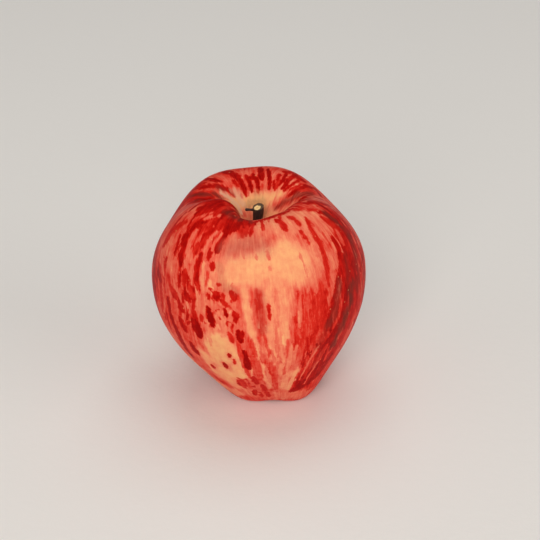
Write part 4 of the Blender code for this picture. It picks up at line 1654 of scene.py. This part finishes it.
def husk_material(colours):
    """Dry, papery and hairy brown."""
    sh = Shader("dried_calyx")
    place = sh.place()
    patterns = {"veins": sh.cloud(sh.scaled(place, HUSK_STRETCH), *HUSK_VEINS)}
    patches = sh.smooth(sh.cloud(place, *HUSK_PATCHES), *HUSK_PATCH_EDGES)
    base = sh.mix(patches, colours.husk, linear(*PALE_HUSK))
    base = sh.mix(sh.smooth(patterns["veins"], *HUSK_VEIN_EDGES) * HUSK_VEIN_COVER, base, linear(*DARK_HUSK))
    roughness = swayed(HUSK_ROUGHNESS, patterns, HUSK_SWAY)
    return sh.finish(base, roughness, swayed(0.0, patterns, HUSK_SWAY), HUSK_SURFACE)


class APPLE_OT_calyx(bpy.types.Operator):
    """Builds the dried calyx in the base."""

    bl_idname = "apple.calyx"
    bl_label = "Build the calyx"

    def execute(self, context):
        shape, colours, _ = settings()
        _, basin, _, _ = outline_at(np.array([float(SPANS)]))
        mesh = calyx_mesh(shape)
        mesh.transform(Fruit().frame_at((float(sideways(basin[0])), 0.0, basin[0])))
        add_piece("dried_calyx", mesh, [husk_material(colours)], "calyx")
        return {"FINISHED"}


def sepal_mesh(shape, bearing, seed):
    """A dried sepal: a pointed blade with a ragged edge, bowed out and curled back in at its tip."""
    bm = bmesh.new()
    bmesh.ops.create_grid(bm, x_segments=SEPAL_GRID[0], y_segments=SEPAL_GRID[1], size=0.5)
    for vert in bm.verts:
        across, share = 2.0 * vert.co.x, vert.co.y + 0.5
        swell = math.sin(math.pi * (SEPAL_BELLY + (1.0 - SEPAL_BELLY) * share))
        ragged = 1.0 + SEPAL_RAGS * noise.noise(Vector((seed, across * RAG_SCALE[0], share * RAG_SCALE[1])))
        side = across * (SEPAL_TIP + (SEPAL_WIDTH / 2 - SEPAL_TIP) * swell) * ragged
        wrinkles = noise.noise(Vector((across * WRINKLE_SCALE[0], share * WRINKLE_SCALE[1], seed)))
        relief = VEIN_HEIGHT * math.cos(across * VEINS) + WRINKLE_HEIGHT * wrinkles
        bow = SEPAL_BOW * math.sin(SEPAL_CURL * share) - SEPAL_KEEL * abs(side)
        down = SEPAL_TOP + (shape.sepal_length - SEPAL_SPARE) * share
        vert.co = (SEPAL_FOOT + bow + relief, side, -down)
    turn = Matrix.Rotation(math.radians(bearing), 3, "Z")
    bmesh.ops.rotate(bm, verts=bm.verts, cent=(0.0, 0.0, 0.0), matrix=turn)
    bmesh.ops.solidify(bm, geom=[*bm.verts, *bm.edges, *bm.faces], thickness=SEPAL_WALL)
    return mesh_from(bm, "sepal")


def stamen_mesh(rng, number):
    """A stamen with a swollen tip, or one of the short styles inside their ring."""
    inner = number >= STAMENS
    bearing = math.tau * number / (STYLES if inner else STAMENS)
    out = Vector((math.cos(bearing), math.sin(bearing), 0.0)) * (STYLE_RING if inner else STAMEN_RING)
    reach = STAMEN_LENGTH * (STYLE_SHARE if inner else rng.uniform(*STAMEN_SHARES))
    foot = out - Vector((0.0, 0.0, STAMEN_ROOT))
    bend = out * STAMEN_SPREAD - Vector((0.0, 0.0, STAMEN_START + reach * 0.5))
    end = out * rng.uniform(*STAMEN_TIPS) - Vector((0.0, 0.0, STAMEN_START + reach))
    return bent_rod("stamen", (foot, bend, end), STAMEN_RADII, STAMEN_STEPS, STAMEN_ROWS)


def calyx_mesh(shape):
    """A disc, five sepals, and stamens with swollen tips round three short styles."""
    meshes = [spun_outline("disc", DISC_OUTLINE, DISC_STEPS)]
    for number in range(SEPALS):
        meshes.append(sepal_mesh(shape, SEPAL_BEARING + 360.0 * number / SEPALS, SEPAL_SEEDS * number))
    rng = random.Random(CALYX_SEED)
    meshes.extend(stamen_mesh(rng, number) for number in range(STAMENS + STYLES))
    bm = bmesh.new()
    for part in meshes:
        bm.from_mesh(part)
    for vert in bm.verts:
        vert.co += noise.noise_vector(vert.co * CALYX_GRAIN) * CALYX_GRAIN_HEIGHT
    bmesh.ops.recalc_face_normals(bm, faces=bm.faces)
    return mesh_from(bm, "dried_calyx")


class APPLE_OT_stage(bpy.types.Operator):
    """Sets up the floor, the soft lights and the camera."""

    bl_idname = "apple.stage"
    bl_label = "Set the stage"

    def execute(self, context):
        stage = settings()[2]
        scene = context.scene
        eye = Eye(stage)
        lens = bpy.data.cameras.new("camera")
        lens.sensor_width = SENSOR
        lens.lens = eye.lens()
        lens.clip_start, lens.clip_end = CLIP
        camera = bpy.data.objects.new("camera", lens)
        camera.matrix_world = eye.matrix()
        scene.collection.objects.link(camera)
        scene.camera = camera
        add_floor(stage)
        for name, power, share, size, place, colour in LIGHTS:
            add_light(name, getattr(stage, power) * share, size, place, colour)
        world = bpy.data.worlds.new("studio")
        world.use_nodes = True
        background = world.node_tree.nodes["Background"]
        background.inputs["Color"].default_value = WORLD_COLOUR
        background.inputs["Strength"].default_value = WORLD_STRENGTH
        scene.world = world
        scene.view_settings.view_transform = "Standard"
        return {"FINISHED"}


def add_light(name, power, size, place, colour):
    """A square soft light that faces the middle of the fruit."""
    light = bpy.data.lights.new(name, "AREA")
    light.energy = power
    light.size = size
    light.color = colour
    thing = bpy.data.objects.new(name, light)
    thing.location = place
    facing = Vector(TARGET) - Vector(place)
    thing.rotation_euler = facing.to_track_quat("-Z", "Y").to_euler()
    bpy.context.scene.collection.objects.link(thing)


def add_floor(stage):
    """A wide plain floor."""
    bm = bmesh.new()
    bmesh.ops.create_grid(bm, x_segments=8, y_segments=8, size=FLOOR_REACH)
    mesh = mesh_from(bm, "floor")
    sh = Shader("floor")
    place = sh.place()
    patterns = {"grain": sh.cloud(place, *FLOOR_GRAIN)}
    base = sh.mix(sh.cloud(place, *FLOOR_TINT) * FLOOR_TINT_SHARE, stage.floor_colour, linear(*FLOOR_SHADE))
    roughness = swayed(FLOOR_ROUGHNESS, patterns, FLOOR_SWAY)
    mesh.materials.append(sh.finish(base, roughness, swayed(0.0, patterns, FLOOR_SWAY), {}))
    floor = bpy.data.objects.new("floor", mesh)
    bpy.context.scene.collection.objects.link(floor)


class APPLE_PT_parts(bpy.types.Panel):
    """The apple's parts and settings in the 3D view's sidebar."""

    bl_idname = "APPLE_PT_parts"
    bl_label = "Red apple"
    bl_space_type = "VIEW_3D"
    bl_region_type = "UI"
    bl_category = "Apple"

    def draw(self, context):
        column = self.layout.column()
        for kind in OPERATORS:
            column.operator(kind.bl_idname)
        for group in settings():
            for name in group.bl_rna.properties.keys():
                if name not in ("rna_type", "name"):
                    column.prop(group, name)


GROUPS = (AppleShape, AppleColours, AppleStage)
OPERATORS = (APPLE_OT_fruit, APPLE_OT_stem, APPLE_OT_calyx, APPLE_OT_stage)


def register():
    """Registers the classes and the scene's settings."""
    for kind in (*GROUPS, *OPERATORS, APPLE_PT_parts):
        bpy.utils.register_class(kind)
    bpy.types.Scene.apple_shape = bpy.props.PointerProperty(type=AppleShape)
    bpy.types.Scene.apple_colours = bpy.props.PointerProperty(type=AppleColours)
    bpy.types.Scene.apple_stage = bpy.props.PointerProperty(type=AppleStage)


def unregister():
    """Takes them out again."""
    del bpy.types.Scene.apple_stage
    del bpy.types.Scene.apple_colours
    del bpy.types.Scene.apple_shape
    for kind in reversed((*GROUPS, *OPERATORS, APPLE_PT_parts)):
        bpy.utils.unregister_class(kind)


def main():
    """Builds the apple and its stage."""
    register()
    bpy.ops.apple.fruit()
    bpy.ops.apple.stem()
    bpy.ops.apple.calyx()
    bpy.ops.apple.stage()


if __name__ == "__main__":
    main()
